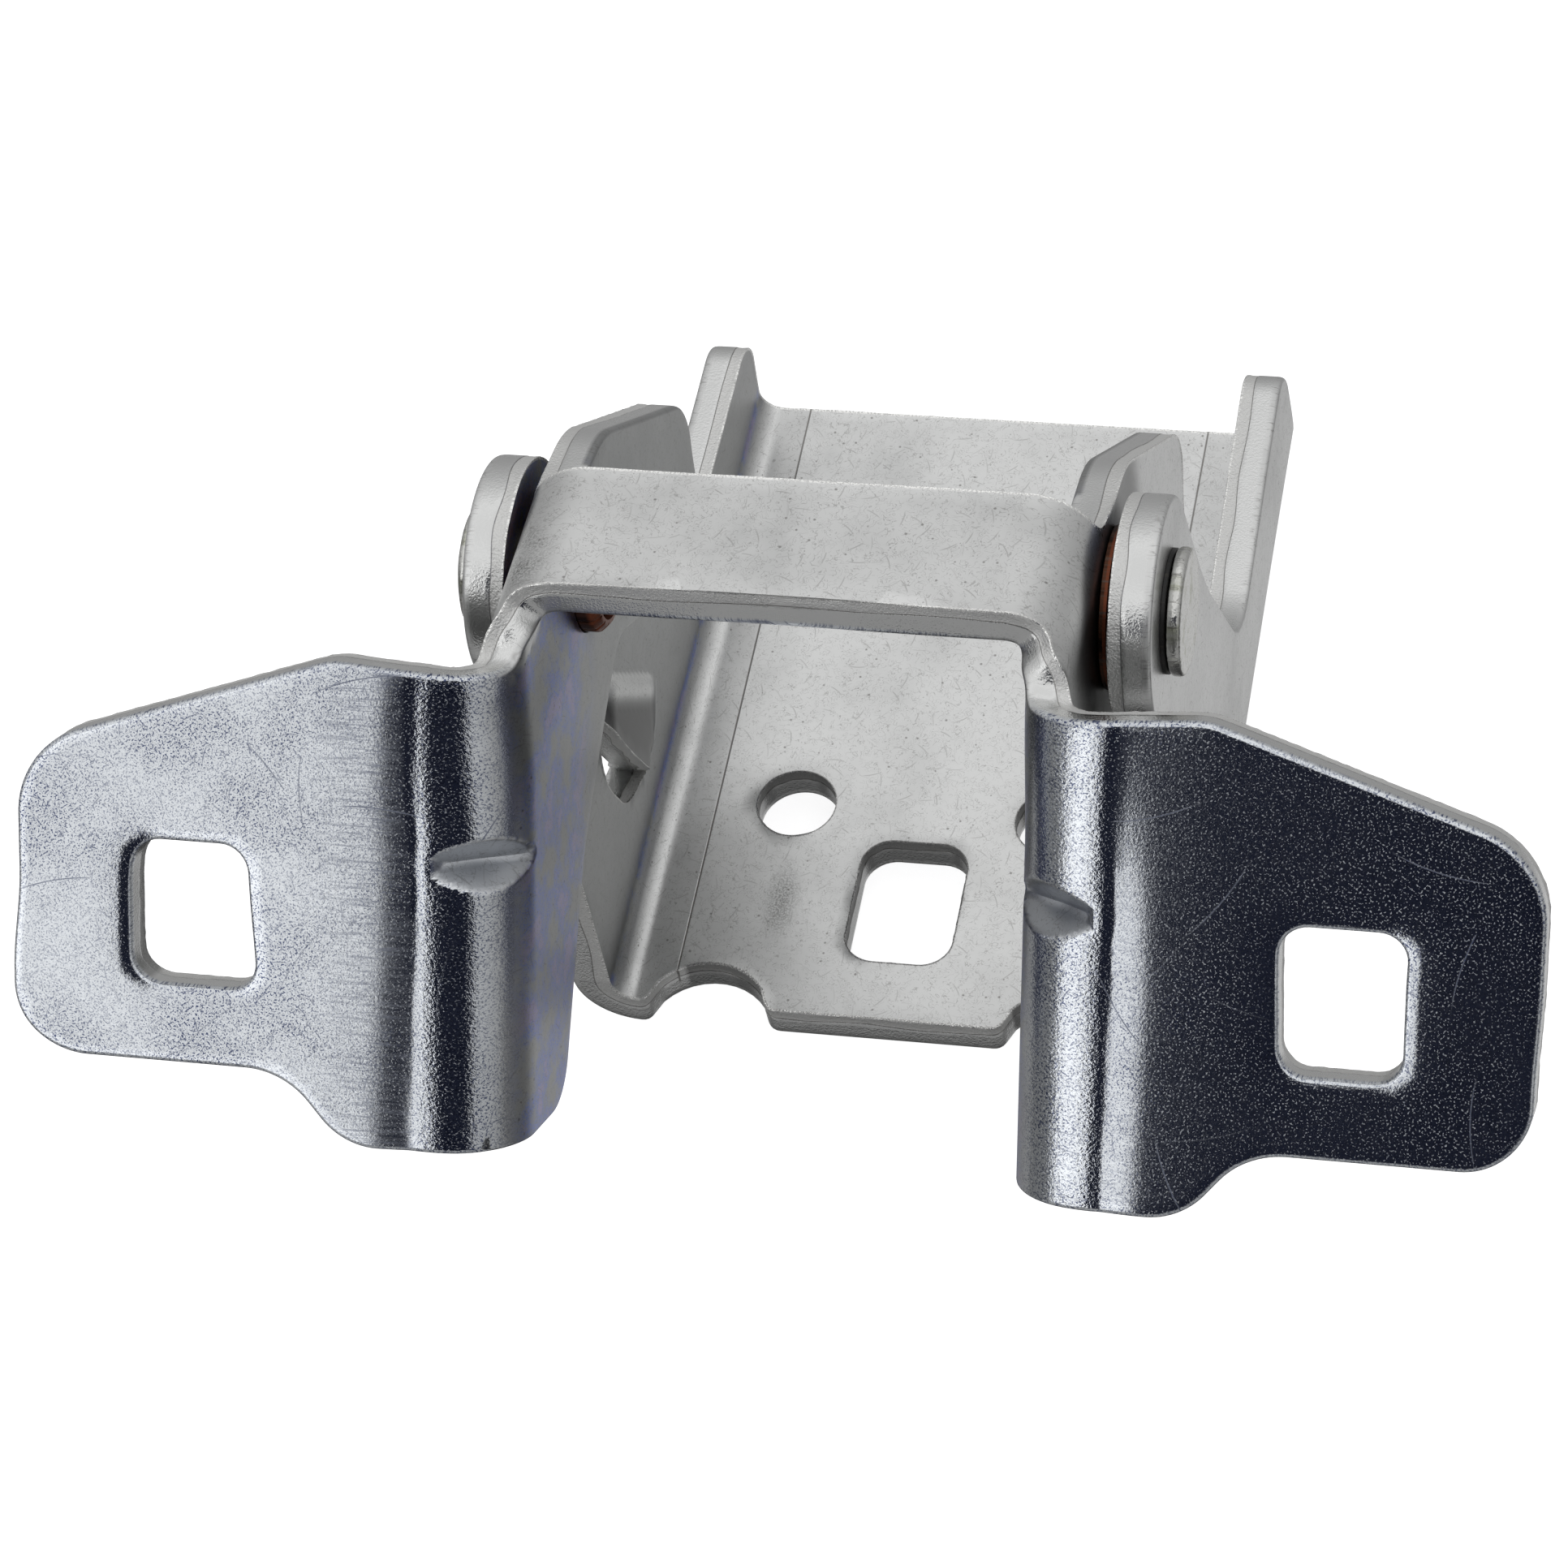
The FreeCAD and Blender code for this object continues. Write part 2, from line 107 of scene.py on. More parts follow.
def roundedCorner(before, here, after, radius, step):
    # points round one corner, about one step apart
    lengthBefore = np.linalg.norm(before - here)
    lengthAfter = np.linalg.norm(after - here)
    before = (before - here) / lengthBefore
    after = (after - here) / lengthAfter
    half = math.acos(max(-1.0, min(1.0, float(before @ after)))) / 2
    longest = 0.48             # of the shorter side, so that two roundings never meet
    reach = min(radius / math.tan(half), longest * lengthBefore, longest * lengthAfter)
    radius = reach * math.tan(half)
    middle = here + unit(before + after) * radius / math.sin(half)
    first = here + before * reach - middle
    last = here + after * reach - middle
    startAngle = math.atan2(first[1], first[0])
    sweep = (math.atan2(last[1], last[0]) - startAngle + math.pi) % (2 * math.pi) - math.pi
    steps = max(4, math.ceil(abs(sweep) * radius / step))
    angles = [startAngle + sweep * j / steps for j in range(steps + 1)]
    return [middle + radius * np.array([math.cos(a), math.sin(a)]) for a in angles]


def roundedLoop(corners, step):
    # closed loop through rounded corners (u, v, radius), with points about one step apart
    places = [np.array(corner[:2]) for corner in corners]
    rough = []
    for i, (u, v, radius) in enumerate(corners):
        if radius > 0:
            rough += roundedCorner(places[i - 1], places[i], places[(i + 1) % len(corners)], radius, step)
        else:
            rough.append(places[i])
    loop = []
    for i, here in enumerate(rough):
        following = rough[(i + 1) % len(rough)]
        gap = np.linalg.norm(following - here)
        if gap < 1e-4:
            continue
        pieces = max(1, math.ceil(gap / step - 0.2))
        for j in range(pieces):
            loop.append(here + (following - here) * j / pieces)
    return np.array(loop)


def boxLoop(box, toFlat, step):
    # a rounded rectangle (middle u and v, width, height, radius), carried to the blank
    u, v, width, tall, radius = box
    w, h = width / 2, tall / 2
    corners = [(*toFlat(u + i * w, v + j * h), radius) for i, j in ((-1, -1), (1, -1), (1, 1), (-1, 1))]
    return roundedLoop(corners, step)


def mirroredCorners(corners):
    return [(-u, v, r) for u, v, r in reversed(corners)]


def turned(loop, clockwise):
    x, y = loop[:, 0], loop[:, 1]
    area = 0.5 * np.sum(x * np.roll(y, -1) - np.roll(x, -1) * y)
    return loop[::-1].copy() if (area < 0) != clockwise else loop


def towardsMetal(loop):
    # the metal lies on the left of every loop
    along = np.roll(loop, -1, axis=0) - np.roll(loop, 1, axis=0)
    along /= np.linalg.norm(along, axis=1)[:, None] + 1e-12
    return np.stack([-along[:, 1], along[:, 0]], axis=1)


def insideLoop(points, loop):
    inside = np.zeros(len(points), dtype=bool)
    for (x0, y0), (x1, y1) in zip(loop, np.roll(loop, -1, axis=0)):
        if y0 != y1:
            crosses = (points[:, 1] > min(y0, y1)) & (points[:, 1] <= max(y0, y1))
            reach = x0 + (points[:, 1] - y0) * (x1 - x0) / (y1 - y0)
            inside ^= crosses & (points[:, 0] < reach)
    return inside


def onMetal(points, loops):
    # inside the first loop and outside the holes
    inside = insideLoop(points, loops[0])
    for hole in loops[1:]:
        inside &= ~insideLoop(points, hole)
    return inside


def clearOf(points, others, gap):
    # keeps the points that stay a gap away from the others
    keep = np.ones(len(points), dtype=bool)
    atOnce = 200
    for start in range(0, len(others), atOnce):
        part = others[start:start + atOnce]
        apart = (points[:, None, 0] - part[None, :, 0]) ** 2 + (points[:, None, 1] - part[None, :, 1]) ** 2
        keep &= np.min(apart, axis=1) > gap * gap
    return points[keep]


def gridPlaces(us, vs):
    gridU, gridV = np.meshgrid(us, vs)
    return gridU.ravel(), gridV.ravel()


# Punched sheet

sheetFace, tornMetal, cutMetal, rolledMetal = range(4)
punchedEdge = {
    "profile": [               # from the burr side: inset, height in half sheets, what the metal is there
        (0.42, 1.000, sheetFace),
        (0.20, 1.012, tornMetal), (0.06, 1.022, tornMetal), (0.00, 0.990, tornMetal), (0.02, 0.90, tornMetal),
        (0.05, 0.74, tornMetal), (0.07, 0.56, tornMetal), (0.05, 0.40, tornMetal),
        (0.0, 0.34, cutMetal), (0.0, 0.10, cutMetal), (0.0, -0.20, cutMetal), (0.0, -0.52, cutMetal),
        (0.02, -0.72, rolledMetal), (0.07, -0.84, rolledMetal), (0.17, -0.93, rolledMetal),
        (0.32, -0.980, rolledMetal),
        (0.56, -1.000, sheetFace),
    ],
    "breakLine": 0.36,         # the torn metal ends about here
    "breakWidth": 0.30,
    "breakWander": 0.16,       # how far that line wanders
    "breakReach": (0.0, 0.95), # and the heights that wander with it
    "tornRough": 0.022,
    "burr": 0.05,
    "clear": 1.25,             # the faces' inner points stay this far from the edges
    "sharp": 40,               # folds over this angle stay crisp
}
wave = {
    "shortest": 1.6,           # wavelengths in millimetres
    "full": 9.0,               # shorter ones than this fade
    "fade": 0.7,
    "most": 60,
}
areaNames = ("bendArea", "wingArea", "innerArea", "gussetArea", "tintArea", "streakArea", "shadeArea",
             "plateArea", "dullArea")


def alongWander(count, seed, length):
    # smooth closed noise along a loop, about -1 to 1
    source = np.random.default_rng(seed)
    total = np.zeros(count)
    angle = np.linspace(0, 2 * math.pi, count, endpoint=False)
    for k in range(1, wave["most"]):
        wavelength = length / k
        if wavelength < wave["shortest"]:
            break
        strength = min(1.0, wavelength / wave["full"]) ** wave["fade"]
        total += strength * source.normal() * np.sin(k * angle + source.uniform(0, 6.28))
    return total / max(1e-6, np.abs(total).max())


def edgeRings(loop, scale, seed, index, source):
    # rings of points across one punched edge: places on the blank, heights and kinds of metal
    edge = punchedEdge
    count = len(loop)
    metal = towardsMetal(loop)
    length = float(np.sum(np.linalg.norm(np.roll(loop, -1, axis=0) - loop, axis=1)))
    wander = alongWander(count, seed * 31 + index, length)
    burrs = np.clip(alongWander(count, seed * 57 + index, length * 0.5) + 0.1, 0, 1)
    low, high = edge["breakReach"]
    flat, height, kinds = [], [], []
    for inset, level, kind in edge["profile"]:
        shift = np.full(count, inset * scale)
        tall = np.full(count, level)
        if kind == tornMetal and level > 1:
            tall += burrs * edge["burr"] * (0.6 if inset > 0.1 else 1.0)
        elif kind == tornMetal:
            shift += source.normal(0, edge["tornRough"], count)
        if low < level < high:
            tall += wander * edge["breakWander"] * hump(level, edge["breakLine"], edge["breakWidth"])
        flat.append(loop + metal * shift[:, None])
        height.append(tall * halfSheet)
        kinds.append(np.full(count, kind))
    return flat, height, kinds


def fillFace(flat, rings, points, firstPoint, side):
    # triangles that fill one face of the sheet between its rings, through the inner points
    borders = [flat[ring] for ring in rings]
    edges = []
    for border in borders:
        at = len(edges)
        edges += [(at + i, at + (i + 1) % len(border)) for i in range(len(border))]
    cloud = np.concatenate(borders + [points])
    ids = np.concatenate(rings + [np.arange(firstPoint, firstPoint + len(points))])
    corners = [Vector(place) for place in cloud]
    _, _, outFaces, origins, _, _ = delaunay_2d_cdt(corners, edges, [], 0, 1e-5)
    backTo = np.array([origin[0] if origin else -1 for origin in origins])
    faces = backTo[np.array([face for face in outFaces if len(face) == 3])]
    faces = faces[(faces >= 0).all(axis=1)]
    faces = ids[faces[onMetal(cloud[faces].mean(axis=1), borders)]]
    return faces[:, ::-1] if side < 0 else faces


def sheetMesh(name, loops, scales, grid, fold, seed):
    # a folded, punched sheet: loops and a grid on the flat blank, and the function that folds them
    source = np.random.default_rng(seed)
    lastRow = len(punchedEdge["profile"]) - 1
    flat, height, kinds, faces, starts = [], [], [], [], []
    total = 0
    for index, (loop, scale) in enumerate(zip(loops, scales)):
        ringFlat, ringHeight, ringKinds = edgeRings(loop, scale, seed, index, source)
        flat += ringFlat
        height += ringHeight
        kinds += ringKinds
        here = np.arange(len(loop))
        for row in range(lastRow):
            a = total + row * len(loop) + here
            b = total + row * len(loop) + (here + 1) % len(loop)
            faces += np.stack([a, a + len(loop), b + len(loop), b], axis=1).tolist()
        starts.append(total)
        total += (lastRow + 1) * len(loop)
    flat = np.concatenate(flat)
    points = clearOf(grid[onMetal(grid, loops)], np.concatenate(loops), punchedEdge["clear"])
    for side, row in ((1, 0), (-1, lastRow)):
        rings = [start + row * len(loop) + np.arange(len(loop)) for start, loop in zip(starts, loops)]
        faces += fillFace(flat, rings, points, total, side).tolist()
        height.append(np.full(len(points), side * halfSheet))
        kinds.append(np.full(len(points), sheetFace))
        total += len(points)
    flat = np.concatenate([flat, points, points])
    height = np.concatenate(height)
    kinds = np.concatenate(kinds)
    folded, areas, streaks = fold(flat, height)
    piece = newPiece(name, folded, faces, punchedEdge["sharp"])
    marks = {
        "tornEdge": kinds == tornMetal,
        "cutEdge": kinds == cutMetal,
        "rolledEdge": kinds == rolledMetal,
        "sheetLevel": height / halfSheet,
    }
    for label in areaNames:
        marks[label] = areas.get(label, np.zeros(len(flat)))
    for label, values in marks.items():
        layer = piece.data.attributes.new(label, "FLOAT", "POINT")
        layer.data.foreach_set("value", np.asarray(values, dtype=np.float32))
    for label, values in (("blankPlace", np.column_stack([flat, height])), ("streakPlace", streaks)):
        layer = piece.data.attributes.new(label, "FLOAT_VECTOR", "POINT")
        layer.data.foreach_set("vector", values.astype(np.float32).ravel())
    return piece


# Door leaf

door = {
    "insideWidth": 52.0,
    "wingReach": 80.0,
    "wingFront": -30.4,
    "bendOuter": 9.5,
    "wingTop": -4.1,
    "wingBottom": -48.8,
    "bendBottom": -56.5,
    "wingOuterTop": -15.6,
    "slantEnd": 45.6,
    "stepUpper": 51.0,
    "stepLower": 44.5,
    "slot": (60.3, -32.4, 12.8, 15.6, 3.0),      # middle, width, height and corner radius
    "strapAngle": 35.5,
    "strapFront": (-22.7, 3.8),
    "strapWidth": 16.7,
    "strapOuter": 7.5,
    "strapTear": (-7.5, -2.5), # the strap's bend dies out over this stretch in front of it
    "wingTear": (0.6, -2.4),   # and the wing's bend over this one
    "leftLean": (0.40, 0.35),  # the strap's left end stands out, more towards the front
    "rightLean": 0.30,
    "lobeLean": 0.35,
    "bore": 6.2,
    "gussetHeight": -25.3,
    "gussetHalf": 2.35,
    "gussetRib": 4.2,
    "gussetEnd": 10.7,         # the pressed wedge stops here, counted from the cheek
    "gussetBlunt": 2.6,        # how steeply it ends
    "gussetTilt": 47.5,        # where on the bend the wedge is deepest
    "gussetRound": 0.16,
    "gussetValley": 0.2,
    "gussetBulge": 0.09,
    "ribFlank": 1.15,
    "pressLine": 11.75,        # line left by the press beside each bend
    "pressRise": 7.5,          # slopes of the wing beside it, in degrees
    "pressDrop": 6.0,
    "groove": (0.15, 0.6),     # half widths of the groove, at its floor and its rim
    "leadIn": (5.4, 1.6),      # the wing lifts between these distances from the line
    "leadOut": (5.4, 0.6),     # and settles between these on the bend's side
    "lineLeft": (0.0, -0.038, -30.0),       # shift, slant and the height that it is counted from
    "lineRight": (0.35, 0.020, -28.0),
    "lineFade": (-3.0, -36.0), # the right wing's lift fades out towards the top
    "dish": 0.16,              # depth and width of the sunk rim round the slots
    "dishWidth": 1.7,
    "edgeStep": 0.62,
    "gridStep": 1.15,
    "bendStep": 0.6,
    "gussetStep": 0.36,
    "edgeScales": [1.0, 0.8, 0.8, 0.5, 0.5],     # how worn the outline, the slots and the bores are
}
slope = math.radians(door["strapAngle"])
strapFront = np.array(door["strapFront"])
strapAlong = np.array([math.cos(slope), math.sin(slope)])
strapDown = np.array([math.sin(slope), -math.cos(slope)])
cheekMiddle = door["insideWidth"] / 2 + halfSheet
strapFlat = cheekMiddle + halfSheet - door["strapOuter"]           # half width of the strap's flat
strapMid = door["strapOuter"] - halfSheet                          # radius of the bend's middle layer
strapEnd = strapFlat + quarterTurn * strapMid
wingMid = door["bendOuter"] - halfSheet
wingInner = door["bendOuter"] - hinge["sheet"]
wingArc = quarterTurn * wingMid
wingCentreX = door["insideWidth"] / 2 + door["bendOuter"]
bendEnd = door["wingFront"] + door["bendOuter"]


def doorFlat(y, z):
    # side view of the cheek, to the flat blank (p across the strap, q along its width)
    dy = y - strapFront[0]
    dz = z - strapFront[1]
    q = dy * strapAlong[0] + dz * strapAlong[1]
    depth = dy * strapDown[0] + dz * strapDown[1]
    return strapEnd + depth - door["strapOuter"], q


def wingFlat(x, z):
    # front view of the wing, to the flat blank
    return doorFlat(bendEnd - (x - wingCentreX + wingArc), z)


def pressProfile(beyondLine, riseAngle):
    # height of the wing's face beside the press line: it lifts slowly, then drops into a narrow groove
    begin, full = door["leadIn"]
    end, gone = door["leadOut"]
    floor, rim = door["groove"]
    far = np.linspace(-end - 0.2, begin + 1.0, 300)
    rise = riseAngle * smooth(far, begin, full) * smooth(far, 0.1, 0.7)
    drop = door["pressDrop"] * smooth(far, -rim, -floor) * smooth(far, rim, floor)
    slopes = np.tan(np.radians(rise - drop))
    heights = np.concatenate([[0.0], np.cumsum((slopes[1:] + slopes[:-1]) / 2 * np.diff(far))])
    heights = (heights - heights[-1]) * smooth(far, -end, -gone)
    return -np.interp(beyondLine, far, heights, left=0.0, right=0.0)


def slotDistance(x, z):
    # distance outside the wing's slot
    cx, cz, width, tall, radius = door["slot"]
    dx = np.abs(x - cx) - width / 2 + radius
    dz = np.abs(z - cz) - tall / 2 + radius
    return np.hypot(np.maximum(dx, 0), np.maximum(dz, 0)) + np.minimum(np.maximum(dx, dz), 0) - radius


def gussetDent(s, turn, across, level):
    # a straight wedge pressed along the chord of the bend, and the rib that it raises on the inside
    tilt = math.radians(door["gussetTilt"])
    diagonal = math.pi / 4
    chord = door["bendOuter"] * (np.cos(turn - tilt) - math.cos(tilt))
    flank = door["bendOuter"] * (1 - math.cos(diagonal)) / door["gussetHalf"]
    wedge = chord - np.maximum(across - door["gussetValley"], 0.0) * flank
    blunt = (door["gussetEnd"] - s) * door["gussetBlunt"] - across ** 2 * door["gussetRound"]
    outer = np.maximum(np.minimum(wedge, blunt), 0.0)
    ribTop = door["gussetRib"] - door["bendOuter"] * math.cos(diagonal) + wingInner * np.cos(turn - diagonal)
    inner = np.maximum(ribTop - across * door["ribFlank"], 0.0)
    inner = inner * straight(s, 0.5, 2.0) * straight(s, wingArc + 1.5, wingArc - 0.5)
    outside = (1 - level / halfSheet) / 2
    return outer * outside + inner * (1 - outside)


def wingLift(s, x, z, side, front):
    # the wing lifts a little before the press line, and sinks towards its slot
    slants = [shift + slant * (z - level) for shift, slant, level in (door["lineLeft"], door["lineRight"])]
    line = door["pressLine"] + np.where(side < 0, *slants)
    line = line + 0.05 * np.sin(z * 0.55 + side) + 0.02 * np.sin(z * 1.7 + 2 * side)
    share = np.where(side < 0, 1.0, smooth(z, *door["lineFade"]))
    lift = pressProfile(s - line, door["pressRise"]) * share + pressProfile(s - line, 0.0) * (1 - share)
    sunk = np.exp(-np.maximum(slotDistance(x, z), 0.0) / door["dishWidth"])
    return (lift + door["dish"] * sunk * front) * smooth(s, 4.5, 8.0)


def strapLean(p, q, z, depth, side):
    # the strap's left end and lobe stand a little further out than the right ones
    nearStrap = smooth(depth, 20.0, 8.0) * smooth(p, 19.0, strapFlat + 5.0)
    frontwards = np.clip(1 - q / door["strapWidth"], 0, 1.2)
    base, more = door["leftLean"]
    lean = np.where(side < 0, base + more * frontwards, -door["rightLean"] * frontwards) * nearStrap
    lobe = smooth(z, -4.0, 6.0) * smooth(q, 8.0, 20.0) * (1 - nearStrap)
    return lean + np.where(side < 0, door["lobeLean"], 0.0) * lobe


def doorFold(flat, level):
    # folds the blank of the door leaf and turns it to the angle it is shown at
    p = np.abs(flat[:, 0])
    q = flat[:, 1]
    side = np.where(flat[:, 0] < 0, -1.0, 1.0)
    front = level < 0
    beyond = p - strapEnd
    depth = door["strapOuter"] + beyond
    x = cheekMiddle + level
    y = strapFront[0] + q * strapAlong[0] + depth * strapDown[0]
    z = strapFront[1] + q * strapAlong[1] + depth * strapDown[1]
    # strap and its bend
    turn = np.clip((p - strapFlat) / strapMid, 0, quarterTurn)
    bentX = np.where(p < strapFlat, p, strapFlat + (strapMid + level) * np.sin(turn))
    bentDepth = door["strapOuter"] - (strapMid + level) * np.cos(turn)
    strapWeight = smooth(q, *door["strapTear"])
    strapX = np.where(beyond < 0, bentX - x, 0.0) * strapWeight
    strapDepth = np.where(beyond < 0, bentDepth - depth, 0.0) * strapWeight
    # wing and its bend, s counted along the blank from where the bend begins
    s = np.maximum(bendEnd - y, 0.0)
    isWing = (s > 0) & (q < door["wingTear"][0])
    wingWeight = np.where(beyond > 0.4, 1.0, smooth(q, *door["wingTear"])) * isWing
    turn = np.clip(s / wingMid, 0, quarterTurn)
    bentX = wingCentreX - (wingMid - level) * np.cos(turn) + np.maximum(s - wingArc, 0.0)
    bentY = bendEnd - (wingMid - level) * np.sin(turn)
    across = np.abs(z - door["gussetHeight"])
    dent = gussetDent(s, turn, across, level) * isWing
    bulge = hump(s, door["gussetEnd"] + 0.9, 0.8) * hump(across, 0.0, 1.5)
    bentY = bentY + wingLift(s, bentX, z, side, front) - door["gussetBulge"] * bulge * front
    bentX = bentX + dent * np.cos(turn)
    bentY = bentY + dent * np.sin(turn)
    wingX = (bentX - cheekMiddle - level) * wingWeight
    wingY = (bentY - y) * wingWeight
    x = x + strapX + wingX + strapLean(p, q, z, depth, side)
    y = y + strapDepth * strapDown[0] + wingY
    z = z + strapDepth * strapDown[1]
    a = math.radians(hinge["shownAngle"])
    shown = np.stack([x * side, y * math.cos(a) - z * math.sin(a),
                      y * math.sin(a) + z * math.cos(a) + hinge["axisHeight"]], axis=1)
    overWing = straight(s, 0.0, 1.2) * straight(s, wingArc + 1.0, wingArc - 0.6) * (q < door["wingTear"][0])
    overStrap = straight(p, strapFlat - 1.0, strapFlat + 0.5) * straight(p, strapEnd + 1.0, strapEnd - 0.5)
    onCheek = (level < 0.2) * (beyond > 0)
    besideSlot = (slotDistance(bentX, z) < 0.6) * (bentX > door["slot"][0] + 4.8) * (s > 20)
    areas = {
        "bendArea": np.maximum(overWing, overStrap * strapWeight),
        "wingArea": smooth(s, 2.0, 7.0) * (q < door["wingTear"][0]) * (level < 0.5),
        # innerArea: painted shade on the cheek's inner face
        "innerArea": smooth(s, 7.0, 1.0) * onCheek,
        "gussetArea": straight(dent, 0.0, 0.12) * front,
        "tintArea": smooth(s, 5.0, 0.5) * onCheek * smooth(y, 4.0, -8.0),
        "streakArea": hump(s, 15.5, 6.0) * smooth(s, 12.4, 13.2) * front * np.where(side < 0, 1.0, 0.35),
        # painted shade on the left wing's edge beside its slot
        "shadeArea": 0.6 * (side < 0) * besideSlot,
        # painted shade on the cheek's outer face round the bush, in the gap by the ear
        "dullArea": 0.85 * (level > 0) * smooth(beyond, -1.5, 1.0) * smooth(np.hypot(y, z), 21.0, 15.0),
    }
    return shown, areas, np.stack([s + 70 * side, z + 55 * side, level], axis=1)


def doorHalfCorners():
    # right half of the blank, from the strap's front edge round the wing and the lobe to its back edge
    front = strapFront + 3.1 * strapDown
    back = strapFront + door["strapWidth"] * strapAlong + 5.6 * strapDown
    outline = [
        (doorFlat, *front, 1.6),
        (doorFlat, -22.9, -0.9, 2.4),
        (doorFlat, -23.2, door["wingTop"] - 0.9, 2.4),
        (doorFlat, -28.6, door["wingTop"] - 1.0, 12.0),
        (wingFlat, door["slantEnd"], door["wingTop"], 8.0),
        (wingFlat, door["wingReach"], door["wingOuterTop"], 10.0),
        (wingFlat, door["wingReach"], door["wingBottom"], 7.5),
        (wingFlat, door["stepUpper"], door["wingBottom"], 9.0),
        (wingFlat, door["stepLower"], door["bendBottom"], 8.0),
        (doorFlat, -9.0, door["bendBottom"], 6.5),
        (doorFlat, -1.2, -30.0, 22.0),
        (doorFlat, 12.3, -9.7, 5.0),
        (doorFlat, 52.5, -9.7, 5.0),
        (doorFlat, 43.5, 10.9, 9.0),
        (doorFlat, 7.0, 14.1, 15.0),
        (doorFlat, back[0] + 1.6, back[1] + 0.4, 1.2),
        (doorFlat, *back, 1.0),
    ]
    return [(*toFlat(u, v), radius) for toFlat, u, v, radius in outline]


def doorGrid():
    # inner points of the right half: rows that follow the upright bend, the strap's bend and the gusset
    fine = door["gridStep"]
    bendStart = bendEnd - wingArc
    ys = np.concatenate([np.arange(-80.0, bendStart - 1.0, fine),
                         np.arange(bendStart - 1.0, bendEnd + 1.0, door["bendStep"]),
                         np.arange(bendEnd + 1.3, 56.0, fine)])
    p, q = doorFlat(*gridPlaces(ys, np.arange(-60.0, 18.0, fine)))
    keep = (p - strapEnd > 0.3) | (q < -0.8)
    ps = np.concatenate([np.arange(fine / 2, strapFlat - 0.6, fine),
                         np.arange(strapFlat - 0.3, strapEnd + 0.2, 0.5)])
    onStrap = gridPlaces(ps, np.arange(0.0, door["strapWidth"] + 0.1, fine * 0.9))
    half = np.concatenate([np.column_stack([p[keep], q[keep]]), np.column_stack(onStrap)])
    zs = door["gussetHeight"] + np.arange(-5.2, 5.21, 0.325)
    gusset = doorFlat(*gridPlaces(np.arange(bendStart - 1.6, bendEnd + 1.6, door["gussetStep"]), zs))
    gusset = np.column_stack(gusset)
    return np.concatenate([clearOf(half, gusset, 0.34), gusset])


def buildDoorLeaf():
    right = doorHalfCorners()
    step = door["edgeStep"]
    loops = [turned(roundedLoop(right + mirroredCorners(right), step), False)]
    for hole in (boxLoop(door["slot"], wingFlat, step), circleLoop(doorFlat(0.0, 0.0), door["bore"], 72)):
        loops += [turned(hole, True), turned(hole * mirrored, True)]
    half = doorGrid()
    grid = np.concatenate([half * mirrored, half])
    leaf = sheetMesh("doorLeaf", loops, door["edgeScales"], grid, doorFold, 3)
    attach(leaf, "door")
    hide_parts("door_leaf")
    return leaf


# Pillar leaf

pillar = {
    "plateFront": -11.7,
    "plateBack": 77.8,
    "foldInner": 3.0,
    "wallInside": 31.7,
    "earRadius": 12.2,
    "earWaist": (18.0, 51.0),
    "earFoot": 35.2,
    "earSweep": 12.0,
    "earSpread": 0.55,         # the ears stand out by this much
    "wallLow": 18.9,
    "wallFar": 19.2,
    "wallCorner": 5.5,
    "wallNarrow": (0.45, 0.35),   # the walls' far ends stand in, at the fold and more above it
    "squareHole": (0.0, 4.75, 12.6, 17.0, 3.6),
    "roundHoles": (15.5, 17.65, 4.65),
    "notch": (20.8, -13.3, 7.4, 1.6),
    "notchFree": 24,           # degrees left to each rounded corner of the notch
    "pinHole": 4.75,
    "lugLow": (14.5, 14.2),
    "lugHigh": (5.2, 36.0),
    "lugStep": 1.12,           # the shoulder behind, low enough to clear the lobe
    "lugShoulder": 2.6,
    "lugRise": 1.4,            # how much further the face rises to the lip
    "lugFace": (4.6, 10.6),    # and over which stretch
    "lugFlank": 9.0,           # length of its slopes at the lower and the upper end
    "lugEnd": (1.0, -3.5),
    "lugNarrow": 2.4,
    "lugDeep": 8.7,            # from the lip's foot to the shoulder
    "lugSlant": 0.26,
    "lugRun": 9.6,
    "lugWindow": 6.3,
    "lugBow": 2.1,             # how far the raised lip bows forwards
    "lugShift": -0.55,         # middle and half length of the window in front of the lip
    "lugSpan": 11.9,
    "lugTop": 0.22,            # where along the window it is widest
    # shades: painted shade, how dark the edges of these are painted
    "shades": (0.85, 0.4, 0.2),   # how dark the plate's holes, the windows and the front edge are
    "edgeStep": 0.62,
    "gridStep": 1.2,
    "foldStep": 0.55,
}
plateFlat = pillar["wallInside"] - pillar["foldInner"]
foldMid = pillar["foldInner"] + halfSheet
wallFlat = plateFlat + quarterTurn * foldMid
wallFoot = pillar["foldInner"] + hinge["sheet"]
lugA = np.array(pillar["lugLow"])
lugB = np.array(pillar["lugHigh"])
lugAlong = unit(lugB - lugA)
lugAcross = np.array([lugAlong[1], -lugAlong[0]])
lugMiddle = (lugA + lugB) / 2
lugHalf = np.linalg.norm(lugB - lugA) / 2


def wallToFlat(y, z):
    return wallFlat + z - wallFoot, y


